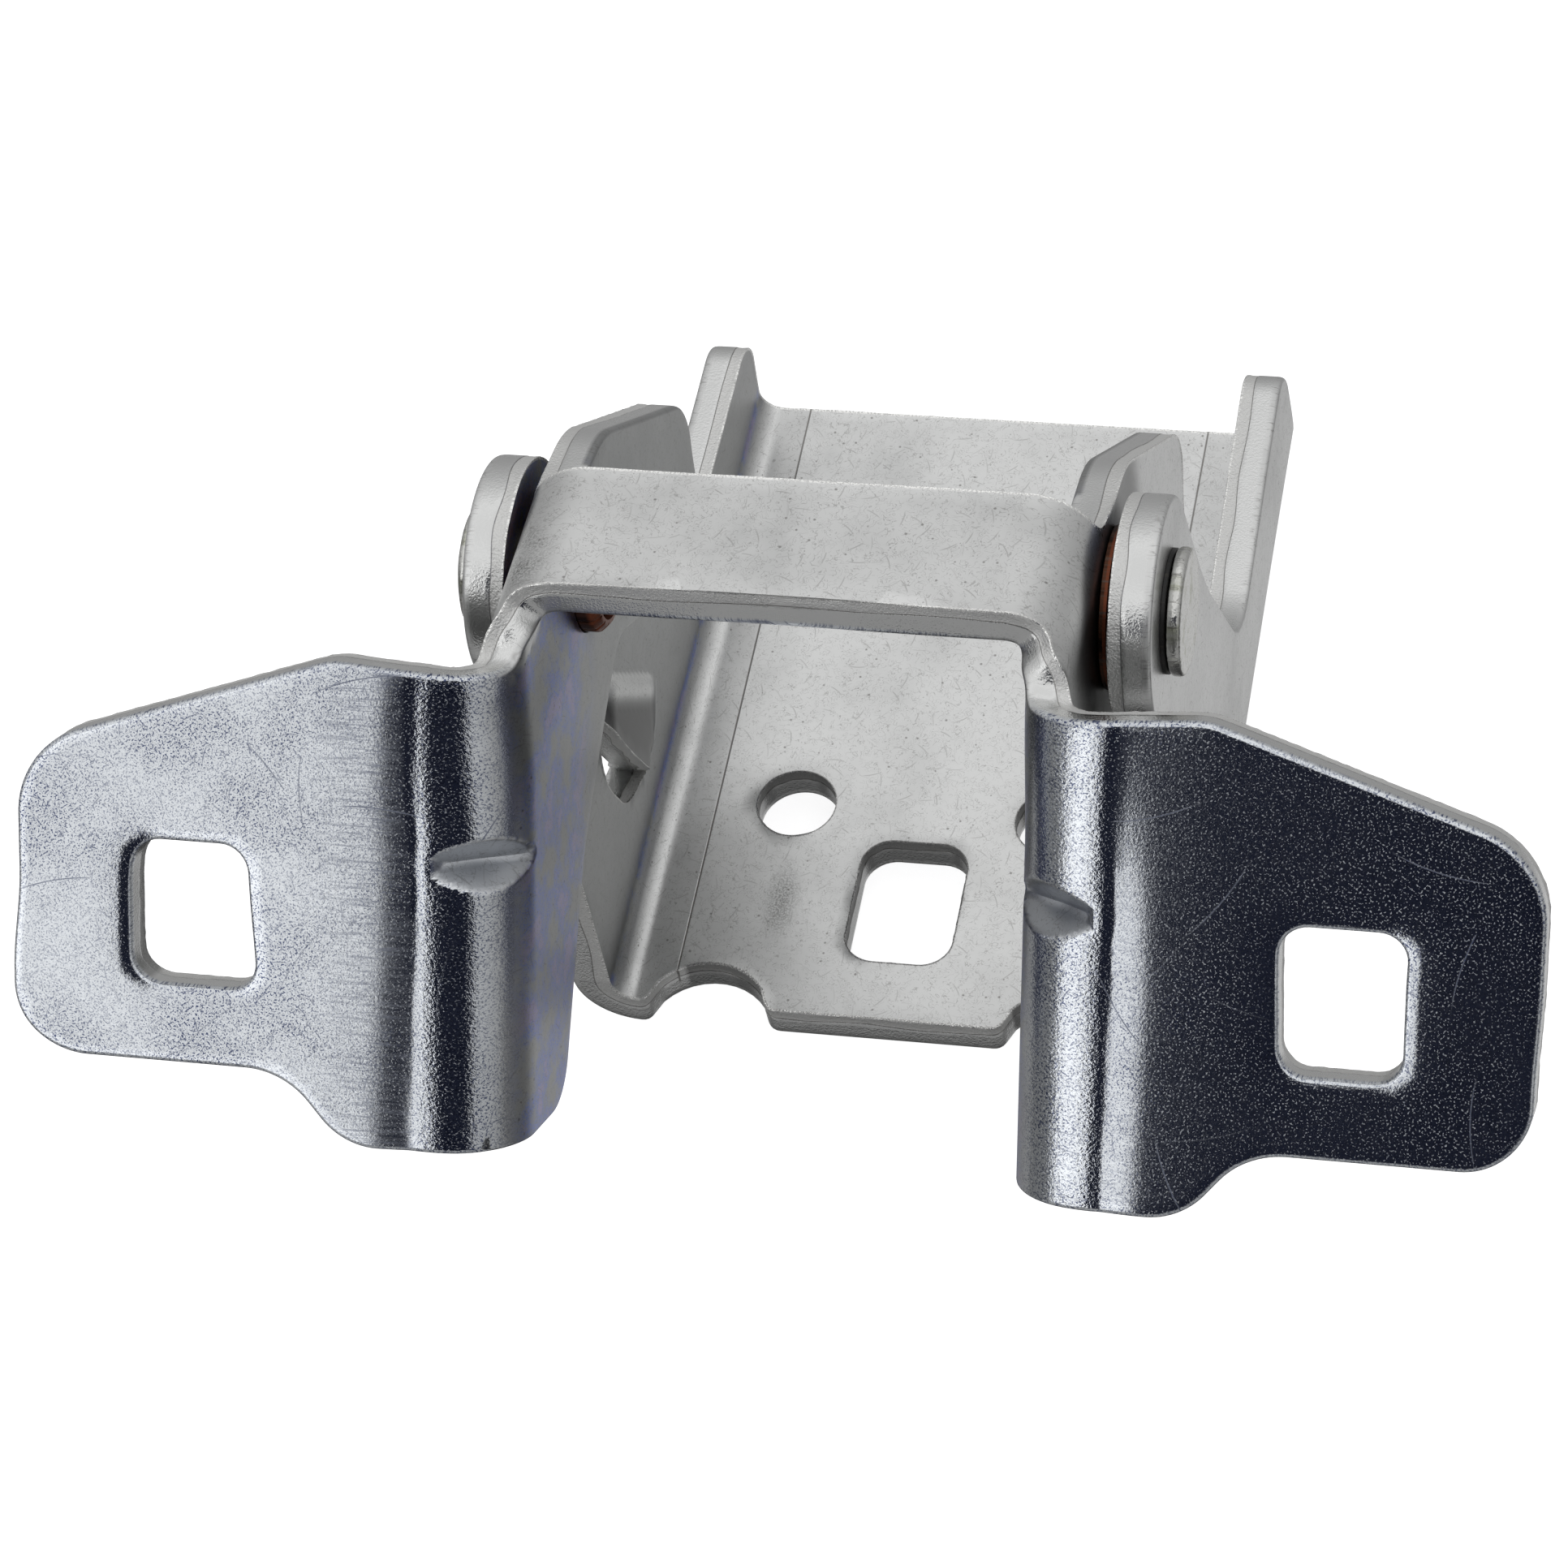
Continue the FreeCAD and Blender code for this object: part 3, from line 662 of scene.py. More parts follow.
def pillarFold(flat, level):
    # folds the blank of the pillar leaf into its channel, and presses the stop lugs in
    u = np.abs(flat[:, 0])
    y = flat[:, 1]
    side = np.where(flat[:, 0] < 0, -1.0, 1.0)
    inside = level > 0
    turn = np.clip((u - plateFlat) / foldMid, 0, quarterTurn)
    x = np.where(u < plateFlat, u, plateFlat + (foldMid - level) * np.sin(turn))
    z = wallFoot - (foldMid - level) * np.cos(turn) + np.maximum(u - wallFlat, 0.0)
    onWall = u > wallFlat
    # places counted along and across the lug's lip
    along = (y - lugMiddle[0]) * lugAlong[0] + (z - lugMiddle[1]) * lugAlong[1]
    across = (y - lugMiddle[0]) * lugAcross[0] + (z - lugMiddle[1]) * lugAcross[1]
    crown = np.clip(1 - ((along - pillar["lugShift"]) / pillar["lugSpan"]) ** 2, 0, 1)
    bowed = across + pillar["lugBow"] * crown
    behind = pillar["lugDeep"] - pillar["lugSlant"] * along - across
    climb = pillar["lugStep"] * smooth(behind, 0.0, pillar["lugShoulder"])
    climb = climb + pillar["lugRise"] * straight(behind, *pillar["lugFace"])
    wider = pillar["lugNarrow"] * smooth(across, 0.0, 2.6) * smooth(across, 11.5, 5.0)
    start = pillar["lugShift"] - pillar["lugSpan"] - wider
    beyond, before = pillar["lugEnd"]
    ends = smooth(along, start, start + pillar["lugFlank"])
    ends = ends * smooth(along, lugHalf + beyond, lugHalf + before)
    press = climb * (0.2 * crown + 0.8) * ends * smooth(bowed, -0.6, -0.3) * onWall
    atFold, above = pillar["wallNarrow"]
    narrow = smooth(y, 15.0, 78.0) * (atFold * smooth(u, 24.0, 34.0) + above * smooth(z, 6.0, 19.0))
    x = x - press + pillar["earSpread"] * smooth(z, 20.0, 55.0) - narrow
    # painted shade on the hole walls in the plate, the lug windows and the plate's front edge
    inHole = (z < 8.0) * (y > -9.0) * (y < 40.0) * (u < 24.0)
    inWindow = onWall * (np.abs(along) < lugHalf + 2.0) * (across > -7.5) * (bowed < -0.3)
    onFrontEdge = (z < 8.0) * (y < -9.0)
    # painted highlight: the lug's shoulder and flanks are kept out of the inner faces' painted shade
    shoulder = smooth(behind, 0.0, 0.7) * smooth(behind, 4.2, 2.4) * smooth(press, 0.02, 0.12)
    flank = smooth(press, 0.01, 0.05) * smooth(ends, 0.12, 0.04) * smooth(along, 0.0, -5.0)
    lightened = np.maximum(shoulder * smooth(ends, 0.1, 0.6), 0.5 * flank)
    onFace = smooth(behind, 2.6, 4.8) * smooth(ends, 0.03, 0.16) * smooth(bowed, -0.4, 0.3)
    soft = 0.6
    pastPlate = straight(u, plateFlat - soft, plateFlat + soft)
    beforeWall = straight(u, wallFlat + soft, wallFlat - soft)
    inHole, inWindow, onFrontEdge = (a * b for a, b in zip(pillar["shades"], (inHole, inWindow, onFrontEdge)))
    areas = {
        "bendArea": pastPlate * beforeWall,
        # innerArea: painted shade on the walls' inner faces, left off the lug's shoulder and flanks
        "innerArea": smooth(u, plateFlat + 1.5, wallFlat) * (level > -0.2) * (1 - lightened),
        "tintArea": (1.3 * hump(u, wallFlat - 0.6, 1.2) + smooth(z, 60.0, 68.0)) * inside,
        "shadeArea": np.maximum(np.maximum(inHole, inWindow), onFrontEdge),
        # painted shade on the stop lug's pressed face
        "dullArea": onFace * onWall * inside,
        "plateArea": inside * (u < plateFlat + 1.0) * 1.0,
    }
    return np.stack([x * side, y, z], axis=1), areas, np.stack([y, z, level], axis=1)


def pillarHalfCorners():
    # right half of the blank, from the notch round the ear to the plate's back edge
    front, back = pillar["plateFront"], pillar["plateBack"]
    notchX, notchY, notchRadius, notchOut = pillar["notch"]
    notchHalf = math.sqrt(notchRadius ** 2 - notchOut ** 2)
    free = math.degrees(math.asin(notchOut / notchRadius)) + pillar["notchFree"]
    corners = [(notchX - notchHalf, front, 1.6)]
    corners += arcPoints((notchX, notchY), notchRadius, 180 - free, free, 12)
    corners.append((notchX + notchHalf, front, 1.4))
    radius, height = pillar["earRadius"], hinge["axisHeight"]
    waistY, waistZ = pillar["earWaist"]
    reach = math.hypot(waistY, waistZ - height)
    earStart = 180 + math.degrees(math.acos(-front / radius))
    earEnd = math.degrees(math.atan2(waistZ - height, waistY) + math.acos(radius / reach))
    wall = arcPoints((0.0, height), radius, earStart, earEnd, 46)
    wall += [(waistY, waistZ, 60.0), (pillar["earFoot"], pillar["wallLow"], pillar["earSweep"]),
             (back, pillar["wallFar"], pillar["wallCorner"])]
    corners += [(*wallToFlat(y, z), r) for y, z, r in wall]
    corners.append((plateFlat - 1.0, back, 0.0))
    return corners


def lugWindow():
    # window in front of the stop lug's lip: a bowed lip, and a far side that is widest off its middle
    stations = np.linspace(-1, 1, 21)
    top = pillar["lugTop"]
    far = []
    for k in stations:
        share = ((k + top) / (1 + top)) ** 4 if k > -top else (-(k + top) / (1 - top)) ** 1.7
        far.append((k, pillar["lugWindow"] * (1 - share)))
    lip = [(k, pillar["lugBow"] * (1 - k * k)) for k in stations[::-1][1:-1]]
    corners = []
    for k, out in far + lip:
        along = pillar["lugShift"] + pillar["lugSpan"] * k
        corners.append((*wallToFlat(*(lugMiddle + lugAlong * along - lugAcross * out)), 0.0))
    return roundedLoop(corners, 0.5)


def pillarGrid():
    # inner points of the right half, finer over the fold and the stop lug
    fine = pillar["gridStep"]
    us = np.concatenate([np.arange(0.6, plateFlat - 0.4, fine),
                         np.arange(plateFlat - 0.2, wallFlat + 0.4, pillar["foldStep"]),
                         np.arange(wallFlat + 1.0, wallFlat + 78.0, fine)])
    half = np.column_stack(gridPlaces(us, np.arange(pillar["plateFront"], pillar["plateBack"] + 1.0, fine)))
    along, across = gridPlaces(np.arange(-lugHalf - 4.0, lugHalf + 2.6, 0.5),
                               np.arange(0.9, pillar["lugRun"] + 2.8, 0.45))
    places = lugMiddle + along[:, None] * lugAlong + across[:, None] * lugAcross
    lug = np.column_stack(wallToFlat(places[:, 0], places[:, 1]))
    return np.concatenate([clearOf(half, lug, 0.45), lug])


def buildPillarLeaf():
    right = pillarHalfCorners()
    step = pillar["edgeStep"]
    loops = [turned(roundedLoop(right + mirroredCorners(right), step), False),
             turned(boxLoop(pillar["squareHole"], lambda u, v: (u, v), step), True)]
    scales = [1.0, 0.6]
    roundX, roundY, roundRadius = pillar["roundHoles"]
    roundHole = circleLoop((roundX, roundY), roundRadius, 64)
    pinHole = circleLoop(wallToFlat(0.0, hinge["axisHeight"]), pillar["pinHole"], 64)
    for hole, scale in ((roundHole, 0.6), (pinHole, 0.3), (lugWindow(), 0.35)):
        loops += [turned(hole, True), turned(hole * mirrored, True)]
        scales += [scale, scale]
    half = pillarGrid()
    grid = np.concatenate([half, half * mirrored])
    leaf = sheetMesh("pillarLeaf", loops, scales, grid, pillarFold, 5)
    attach(leaf, "pillar")
    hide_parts("pillar_leaf")
    return leaf


# Pins, washers and bushes, turned about the hinge axis

turnedParts = {
    "pinRadius": 4.75,
    "pinStart": 24.3,
    "earOutside": 36.73,
    "washer": 0.62,
    "headRadius": 6.8,
    "headThick": 1.55,
    "bushBore": 4.8,
    "bushRadius": 6.2,
    "bushEnd": 23.7,
    "flangeRadius": 8.7,
    "flangeThick": 1.0,
    "flangeRound": 0.15,
    "cheekOutside": 30.5,
    "grooves": 20,
    "grooveDepth": 0.34,
    "sharp": 38,
}


def turnedMesh(name, profile, around, side, angle, shape=None, closedRing=False):
    # turns an (x, radius) profile about the hinge axis; shape may change the radius round it
    points = []
    for x, radius in profile:
        for a in np.linspace(0, 2 * math.pi, around, endpoint=False):
            r = shape(x, radius, a) if shape else radius
            points.append((x * side, r * math.cos(a + angle), r * math.sin(a + angle) + hinge["axisHeight"]))
    faces = []
    rows = len(profile)
    for k in range(rows if closedRing else rows - 1):
        nextRow = (k + 1) % rows
        for i in range(around):
            j = (i + 1) % around
            face = (k * around + i, k * around + j, nextRow * around + j, nextRow * around + i)
            faces.append(face if side > 0 else face[::-1])
    if not closedRing:
        for k in (0, rows - 1):
            ring = tuple(k * around + i for i in range(around))
            faces.append(ring[::-1] if (k == 0) == (side > 0) else ring)
    return newPiece(name, points, faces, turnedParts["sharp"])


def buildPin(side, label):
    s = turnedParts
    start = s["pinStart"]
    seat = s["earOutside"] + s["washer"]
    face = seat + s["headThick"]
    r = s["pinRadius"]
    big = s["headRadius"]
    profile = [(start, 0.6), (start, r - 0.6), (start + 0.12, r - 0.42), (start + 0.6, r),
               (seat - 0.02, r), (seat + 0.02, big - 0.5), (seat + 0.05, big - 0.3), (seat + 0.16, big - 0.1),
               (seat + 0.34, big), (face - 0.62, big), (face - 0.36, big - 0.07), (face - 0.17, big - 0.22),
               (face - 0.05, big - 0.42), (face, big - 0.75), (face - 0.02, big - 1.6),
               (face - 0.05, big - 3.0), (face - 0.06, 0.6)]

    def hammered(x, radius, a):
        # the riveted head isn't quite round
        if radius <= r + 0.3:
            return radius
        lump = 0.05 * math.sin(3 * a + 0.7) + 0.035 * math.sin(7 * a + 2.1) + 0.02 * math.sin(13 * a)
        return radius + lump * min(1.0, (radius - r) / 1.5)

    pin = turnedMesh("pin" + label, profile, 128, side, 0.4 * side, hammered)
    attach(pin, "pillar")
    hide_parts("pin_" + label.lower())
    return pin


def buildWasher(side, label):
    s = turnedParts
    a = s["earOutside"]
    b = a + s["washer"]
    inner = s["pinRadius"]
    big = s["headRadius"] - 0.15
    profile = [(a, inner), (a, big - 0.1), (a + 0.08, big), (b - 0.2, big), (b - 0.1, big - 0.1),
               (b - 0.02, big - 0.3), (b - 0.02, inner)]
    washer = turnedMesh("washer" + label, profile, 96, side, 0.0, None, True)
    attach(washer, "pillar")
    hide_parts("washer_" + label.lower())
    return washer


def buildBush(side, label):
    s = turnedParts
    r = s["bushRadius"]
    bore = s["bushBore"]
    end = s["bushEnd"]
    seat = s["cheekOutside"] + 0.1
    out = seat + s["flangeThick"]
    flange = s["flangeRadius"]
    soft = s["flangeRound"]
    profile = [(end, bore), (end, r - 0.95), (end + 0.1, r - 0.75), (end + 0.75, r - 0.1), (end + 0.95, r),
               (end + 1.5, r), (end + 2.3, r), (seat, r), (seat, flange - soft), (seat + soft, flange),
               (out - soft, flange), (out, flange - soft), (out, bore)]

    def grooved(x, radius, a):
        # grooves round the inner end
        if x >= end + 2.2 or radius <= bore + 0.3:
            return radius
        cut = s["grooveDepth"] * max(0.0, 1 - 3.2 * abs(math.cos(a * s["grooves"] / 2)))
        return radius - cut * (1.0 if radius > r - 0.3 else 0.6)

    tilt = math.radians(hinge["shownAngle"])
    bush = turnedMesh("bush" + label, profile, 240, side, tilt, grooved, True)
    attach(bush, "door")
    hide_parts("bush_" + label.lower())
    return bush


print("building the door leaf")
doorLeaf = buildDoorLeaf()
print("building the pillar leaf")
pillarLeaf = buildPillarLeaf()
print("turning pins, washers and bushes")
pins = [buildPin(1, "Right"), buildPin(-1, "Left")]
washers = [buildWasher(1, "Right"), buildWasher(-1, "Left")]
bushes = [buildBush(1, "Right"), buildBush(-1, "Left")]


# Shader node helpers. Those that take an output of a node work in the tree that it belongs to.

def fill(node, inputs):
    # gives a node its inputs, each a number, a colour or another node's output
    for key, value in inputs.items():
        if isinstance(value, bpy.types.NodeSocket):
            node.id_data.links.new(value, node.inputs[key])
        else:
            node.inputs[key].default_value = value


def addNode(tree, kind, inputs=None, **settings):
    node = tree.nodes.new("ShaderNode" + kind)
    for key, value in settings.items():
        setattr(node, key, value)
    fill(node, inputs or {})
    return node


def firstOut(tree, kind, inputs, **settings):
    return addNode(tree, kind, inputs, **settings).outputs[0]


def treeOf(values):
    return next(value.id_data for value in values if isinstance(value, bpy.types.NodeSocket))


def maths(operation, *values, clamp=False):
    return firstOut(treeOf(values), "Math", dict(enumerate(values)), operation=operation, use_clamp=clamp)


def times(first, *others):
    for other in others:
        first = maths("MULTIPLY", first, other)
    return first


def strongest(first, *others):
    for other in others:
        first = maths("MAXIMUM", first, other)
    return first


def without(first, second):
    # the first less the second, never below 0
    return maths("SUBTRACT", first, second, clamp=True)


def added(base, share, amount):
    # the base, and the amount more where the share is 1
    return maths("MULTIPLY_ADD", share, amount, base)


def absolute(value):
    return maths("ABSOLUTE", value)


def ramp(value, low, high, bottom=0.0, top=1.0, curve="SMOOTHSTEP"):
    # carries a value from low..high to bottom..top
    inputs = {"Value": value, "From Min": low, "From Max": high, "To Min": bottom, "To Max": top}
    return firstOut(value.id_data, "MapRange", inputs, interpolation_type=curve)


def blend(share, first, second, how="MIX"):
    # mixes two colours
    inputs = {0: share, 6: first, 7: second}
    return addNode(treeOf(inputs.values()), "Mix", inputs, data_type="RGBA", blend_type=how).outputs[2]


def grey(value):
    return firstOut(value.id_data, "CombineColor", {0: value, 1: value, 2: value})


def vectors(operation, first, second):
    return firstOut(first.id_data, "VectorMath", {0: first, 1: second}, operation=operation)


def scaled(where, factor):
    return firstOut(where.id_data, "VectorMath", {0: where, "Scale": factor}, operation="SCALE")


def shifted(where, x, y):
    return vectors("ADD", where, (x, y, 0.0))


def parts(where):
    # x, y and z of a place
    return addNode(where.id_data, "SeparateXYZ", {"Vector": where}).outputs


def softSpot(where, spot):
    # 1 in the middle of an oval and 0 outside it
    x, y, perX, perY, rim, core = spot
    away = vectors("MULTIPLY", shifted(where, -x, -y), (perX, perY, 0.0))
    distance = addNode(where.id_data, "VectorMath", {0: away}, operation="LENGTH").outputs["Value"]
    return ramp(distance, rim, core)


def noise(where, perMm, detail, roughness=0.5, dimensions="2D"):
    inputs = {"Vector": where, "Scale": perMm, "Detail": detail, "Roughness": roughness}
    return addNode(where.id_data, "TexNoise", inputs, noise_dimensions=dimensions).outputs["Fac"]


def cells(where, perMm):
    # scattered cells, and three numbers picked for each
    inputs = {"Vector": where, "Scale": perMm}
    found = addNode(where.id_data, "TexVoronoi", inputs, feature="F1", voronoi_dimensions="2D").outputs
    return found, addNode(where.id_data, "SeparateColor", {"Color": found["Color"]}).outputs


def newGroup(name, inputs, outputs):
    # an empty node group; an input that starts with no number is a place
    group = bpy.data.node_groups.new(name, "ShaderNodeTree")
    for label, start in inputs.items():
        kind = "NodeSocketVector" if start is None else "NodeSocketFloat"
        socket = group.interface.new_socket(label, in_out="INPUT", socket_type=kind)
        if start is not None:
            socket.default_value = start
    for label in outputs:
        group.interface.new_socket(label, in_out="OUTPUT", socket_type="NodeSocketFloat")
    return group, group.nodes.new("NodeGroupInput").outputs, group.nodes.new("NodeGroupOutput")


def place(group, tree, inputs):
    # puts a node group into a material with its own values
    return addNode(tree, "Group", inputs, node_tree=group).outputs


# Shared effects, each a group that puts out masks or heights

def makeFlecks():
    # small round specks, most cells empty
    inputs = {"Place": None, "Per mm": 1.0, "Size": 0.2, "Share": 0.3}
    group, given, result = newGroup("flecks", inputs, ["Mask"])
    found, pick = cells(given["Place"], given["Per mm"])
    reach = times(given["Size"], ramp(pick[1], 0.0, 1.0, 0.35, 1.3))
    crisp = 14.0
    spot = maths("MULTIPLY", maths("SUBTRACT", reach, found["Distance"]), crisp, clamp=True)
    fill(result, {"Mask": times(spot, maths("LESS_THAN", pick[0], given["Share"]))})
    return group


def makeScratches():
    # short scratches, nearly straight, each turned its own way
    inputs = {"Place": None, "Per mm": 0.5, "Width": 0.05, "Share": 0.5}
    group, given, result = newGroup("scratches", inputs, ["Mask"])
    where = scaled(given["Place"], given["Per mm"])
    found, pick = cells(where, 1.0)
    away = vectors("SUBTRACT", where, found["Position"])
    spun = {"Vector": away, "Angle": times(pick[0], 3.1416)}
    offset = parts(firstOut(group, "VectorRotate", spun, rotation_type="Z_AXIS"))
    bow = 0.25
    bent = added(offset[1], times(offset[0], offset[0]), bow)
    line = without(1.0, maths("DIVIDE", absolute(bent), given["Width"]))
    ends = ramp(absolute(offset[0]), 0.55, 0.2)
    kept = maths("LESS_THAN", pick[1], given["Share"])
    fill(result, {"Mask": times(line, ends, kept, ramp(pick[2], 0.0, 1.0, 0.3, 1.0))})
    return group


def makeHairs():
    # fine curved lines along the contours of a noise, broken into pieces
    inputs = {"Place": None, "Per mm": 0.4, "Width": 0.012, "Share": 0.5}
    group, given, result = newGroup("hairLines", inputs, ["Mask"])
    contours = 9.0
    field = noise(given["Place"], given["Per mm"], 2.5, 0.62)
    centred = absolute(maths("SUBTRACT", maths("FRACT", times(field, contours)), 0.5))
    line = without(1.0, maths("DIVIDE", centred, times(given["Width"], contours)))
    broken = noise(shifted(given["Place"], 31.0, 53.0), 0.9, 1.0)
    gap = maths("SUBTRACT", broken, added(0.7, given["Share"], -0.4))
    fill(result, {"Mask": times(line, maths("MULTIPLY", gap, 9.0, clamp=True))})
    return group


def makeGrain():
    # surface grain about 0, through the sheet and along it
    group, given, result = newGroup("grain", {"Place": None, "Per mm": 2.8}, ["Height"])
    grain = noise(given["Place"], given["Per mm"], 1.5, 0.6, "3D")
    fill(result, {"Height": maths("SUBTRACT", grain, 0.5)})
    return group


def makeClouds():
    # wide soft stains: the mask holds the strongest, the cloud all of them
    inputs = {"Place": None, "Per mm": 0.06, "Share": 0.4}
    group, given, result = newGroup("clouds", inputs, ["Mask", "Cloud"])
    cloud = noise(given["Place"], given["Per mm"], 3.5, 0.65)
    over = maths("SUBTRACT", cloud, added(0.72, given["Share"], -0.4))
    fill(result, {"Mask": maths("MULTIPLY", over, 6.0, clamp=True), "Cloud": cloud})
    return group


flecks = makeFlecks()
scratches = makeScratches()
hairs = makeHairs()
grains = makeGrain()
clouds = makeClouds()


# Materials

def emptyTree(owner):
    # clears the nodes of a material or a world
    owner.use_nodes = True
    owner.node_tree.nodes.clear()
    return owner.node_tree


def newMetal(name):
    material = bpy.data.materials.new(name)
    tree = emptyTree(material)
    shader = addNode(tree, "BsdfPrincipled", {"Metallic": 1.0})
    addNode(tree, "OutputMaterial", {"Surface": shader.outputs["BSDF"]})
    return material, tree, shader


def relief(height):
    # a height in micrometres, as a normal
    return firstOut(height.id_data, "Bump", {"Strength": 1.0, "Distance": 0.000001, "Height": height})


zincFinish = {
    "zinc": (0.73, 0.735, 0.73, 1.0),
    "wing": (0.75, 0.78, 0.815, 1.0),
    # inner: colour of the painted shade on the inner faces of the cheeks and walls
    "inner": (0.35, 0.355, 0.355, 1.0),
    "torn": (0.74, 0.74, 0.73, 1.0),
    "cut": (0.70, 0.705, 0.70, 1.0),
    "gusset": (0.52, 0.54, 0.57, 1.0),
    "stain": (0.36, 0.37, 0.37, 1.0),
    "fleck": (0.10, 0.09, 0.08, 1.0),
    # colour of the painted shade
    "paintedShadeColour": (0.12, 0.12, 0.12, 1.0),
    # burr: bright colour, partly a painted highlight along the burr line, with low roughness
    "burr": (0.95, 0.95, 0.93, 1.0),
    "inkLine": (0.09, 0.11, 0.20, 1.0),
    "blueing": (0.18, 0.25, 0.61, 1.0),
    "violet": (0.36, 0.32, 0.58, 1.0),
    "satin": 0.34,             # roughness of the plain faces
    "wingRough": 0.07,
    "cutRough": 0.20,
    "tornRough": 0.55,
    "rolledRough": 0.2,        # added on the rolled edges of the wings
    "burrRough": -0.35,        # on the burrs
    "streakRough": 0.24,       # along the streaks beside the press line
    "scratchRough": 0.36,      # where the wing is scratched bright
    "inkRough": 0.12,          # and where it is stained dark
    "grain": 3.8,
    "dots": 4.4,
    "streaks": (0.15, 2.6, 1.0),   # per mm, away from the press line and along it
    "stainShare": 0.2,
    "speckShare": 0.6,
    "scratchShare": 0.42,
    "lineShare": 0.75,
    "shadeShare": 0.80,
    "dieLine": 25.0,           # line left by the die on the plate, from the middle
    "smudge": (-14.7, 3.6, 0.42, 0.16, 1.15, 0.1),     # on the plate: middle, steepness, rim and core
    "rub": (-26.5, 5.0, 0.34, 0.17, 1.1, 0.2),         # on the strap's left end
    "specks": {"Per mm": 0.7, "Size": 0.11, "Share": 0.16},
    "scratches": {"Per mm": 0.42, "Width": 0.045, "Share": 0.6},
    "longScratches": {"Per mm": 0.085, "Width": 0.009, "Share": 0.6},
    "hairs": {"Per mm": 0.30, "Width": 0.008, "Share": 0.6},
    "closeHairs": {"Per mm": 0.55, "Width": 0.012, "Share": 0.7},
    "stains": {"Per mm": 0.05, "Share": 0.30},
    "tints": {"Per mm": 0.17, "Share": 0.85},
    "faceGrain": (3.5, 8.5),   # micrometres on the plain faces, and more on the wings
    "bendGrain": 40.0,
    "tornGrain": 115.0,
    "cutGrain": 40.0,
    "rolledGrain": 15.0,
    "gussetGrain": -30.0,
    "leastGrain": 3.0,
    "streakHeight": 14.0,
    "lineDepth": -25.0,
}


def stored(tree, name, kind="Fac"):
    # what the mesh holds at each point
    return addNode(tree, "Attribute", attribute_name=name).outputs[kind]


def zincAreas(tree):
    # which part of the sheet each point is on: torn, cut, rolled, bend, wing and so on
    on = SimpleNamespace()
    for name in ("tornEdge", "cutEdge", "rolledEdge", *areaNames):
        short = name.removesuffix("Edge").removesuffix("Area")
        setattr(on, short, stored(tree, name))
    on.edge = maths("ADD", on.torn, on.cut, clamp=True)
    on.face = maths("SUBTRACT", 1.0, on.edge)
    on.wingFace = times(without(on.wing, on.gusset), on.face)
    on.plainFace = without(on.face, on.wingFace)
    return on


def zincMarks(tree, on):
    # wear, stains and lines, each a mask
    f = zincFinish
    m = SimpleNamespace()
    where = stored(tree, "blankPlace", "Vector")
    m.grain = place(grains, tree, {"Place": where, "Per mm": f["grain"]})[0]
    stains = place(clouds, tree, {"Place": where, **f["stains"]})
    tints = place(clouds, tree, {"Place": shifted(where, 40.0, 17.0), **f["tints"]})
    m.stained, m.cloudy = stains["Mask"], stains["Cloud"]
    m.tinted, m.hue = tints["Mask"], tints["Cloud"]
    m.dots = noise(shifted(where, 9.0, 3.0), f["dots"], 1.0)
    m.specks = place(flecks, tree, {"Place": where, **f["specks"]})[0]
    m.scored = place(scratches, tree, {"Place": where, **f["scratches"]})[0]
    m.hairy = strongest(place(hairs, tree, {"Place": where, **f["hairs"]})[0],
                        place(hairs, tree, {"Place": shifted(where, 77.0, 5.0), **f["closeHairs"]})[0])
    longMarks = place(scratches, tree, {"Place": shifted(where, 3.0, 61.0), **f["longScratches"]})[0]
    stretched = vectors("MULTIPLY", stored(tree, "streakPlace", "Vector"), f["streaks"])
    m.streaks = noise(stretched, 1.0, 3.5, 0.78)
    brushed = times(ramp(m.streaks, 0.48, 0.66), on.streak, 0.6)
    clustered = ramp(m.cloudy, 0.35, 0.65, 0.55, 1.0)
    pits = ramp(m.dots, 0.43, 0.36)
    wearAndHighlight = times(strongest(m.scored, m.hairy, pits), clustered)
    m.inked = times(strongest(wearAndHighlight, brushed, longMarks), on.wingFace)
    m.glints = times(strongest(ramp(m.dots, 0.64, 0.71), longMarks), clustered, on.wingFace)
    fromMiddle = absolute(parts(where)[0])
    line = f["dieLine"]
    m.dieLine = times(ramp(absolute(maths("SUBTRACT", fromMiddle, line)), 0.17, 0.03), on.plate)
    m.besideFold = times(ramp(fromMiddle, line - 0.1, line + 0.1), on.plate)
    m.smudge = times(softSpot(where, f["smudge"]), on.plate, ramp(m.dots, 0.35, 0.65, 0.25, 1.0))
    offPlate = maths("SUBTRACT", 1.0, on.plate)
    patchy = times(ramp(m.cloudy, 0.42, 0.56), ramp(m.dots, 0.40, 0.62))
    m.rub = times(softSpot(where, f["rub"]), offPlate, patchy)
    m.fracture = maths("MULTIPLY", times(on.torn, on.cut), 3.6, clamp=True)
    # the burr line, speckled; its bright colour is partly a painted highlight
    m.burr = times(ramp(stored(tree, "sheetLevel"), 0.90, 0.97), on.torn, ramp(m.dots, 0.42, 0.55))
    return m


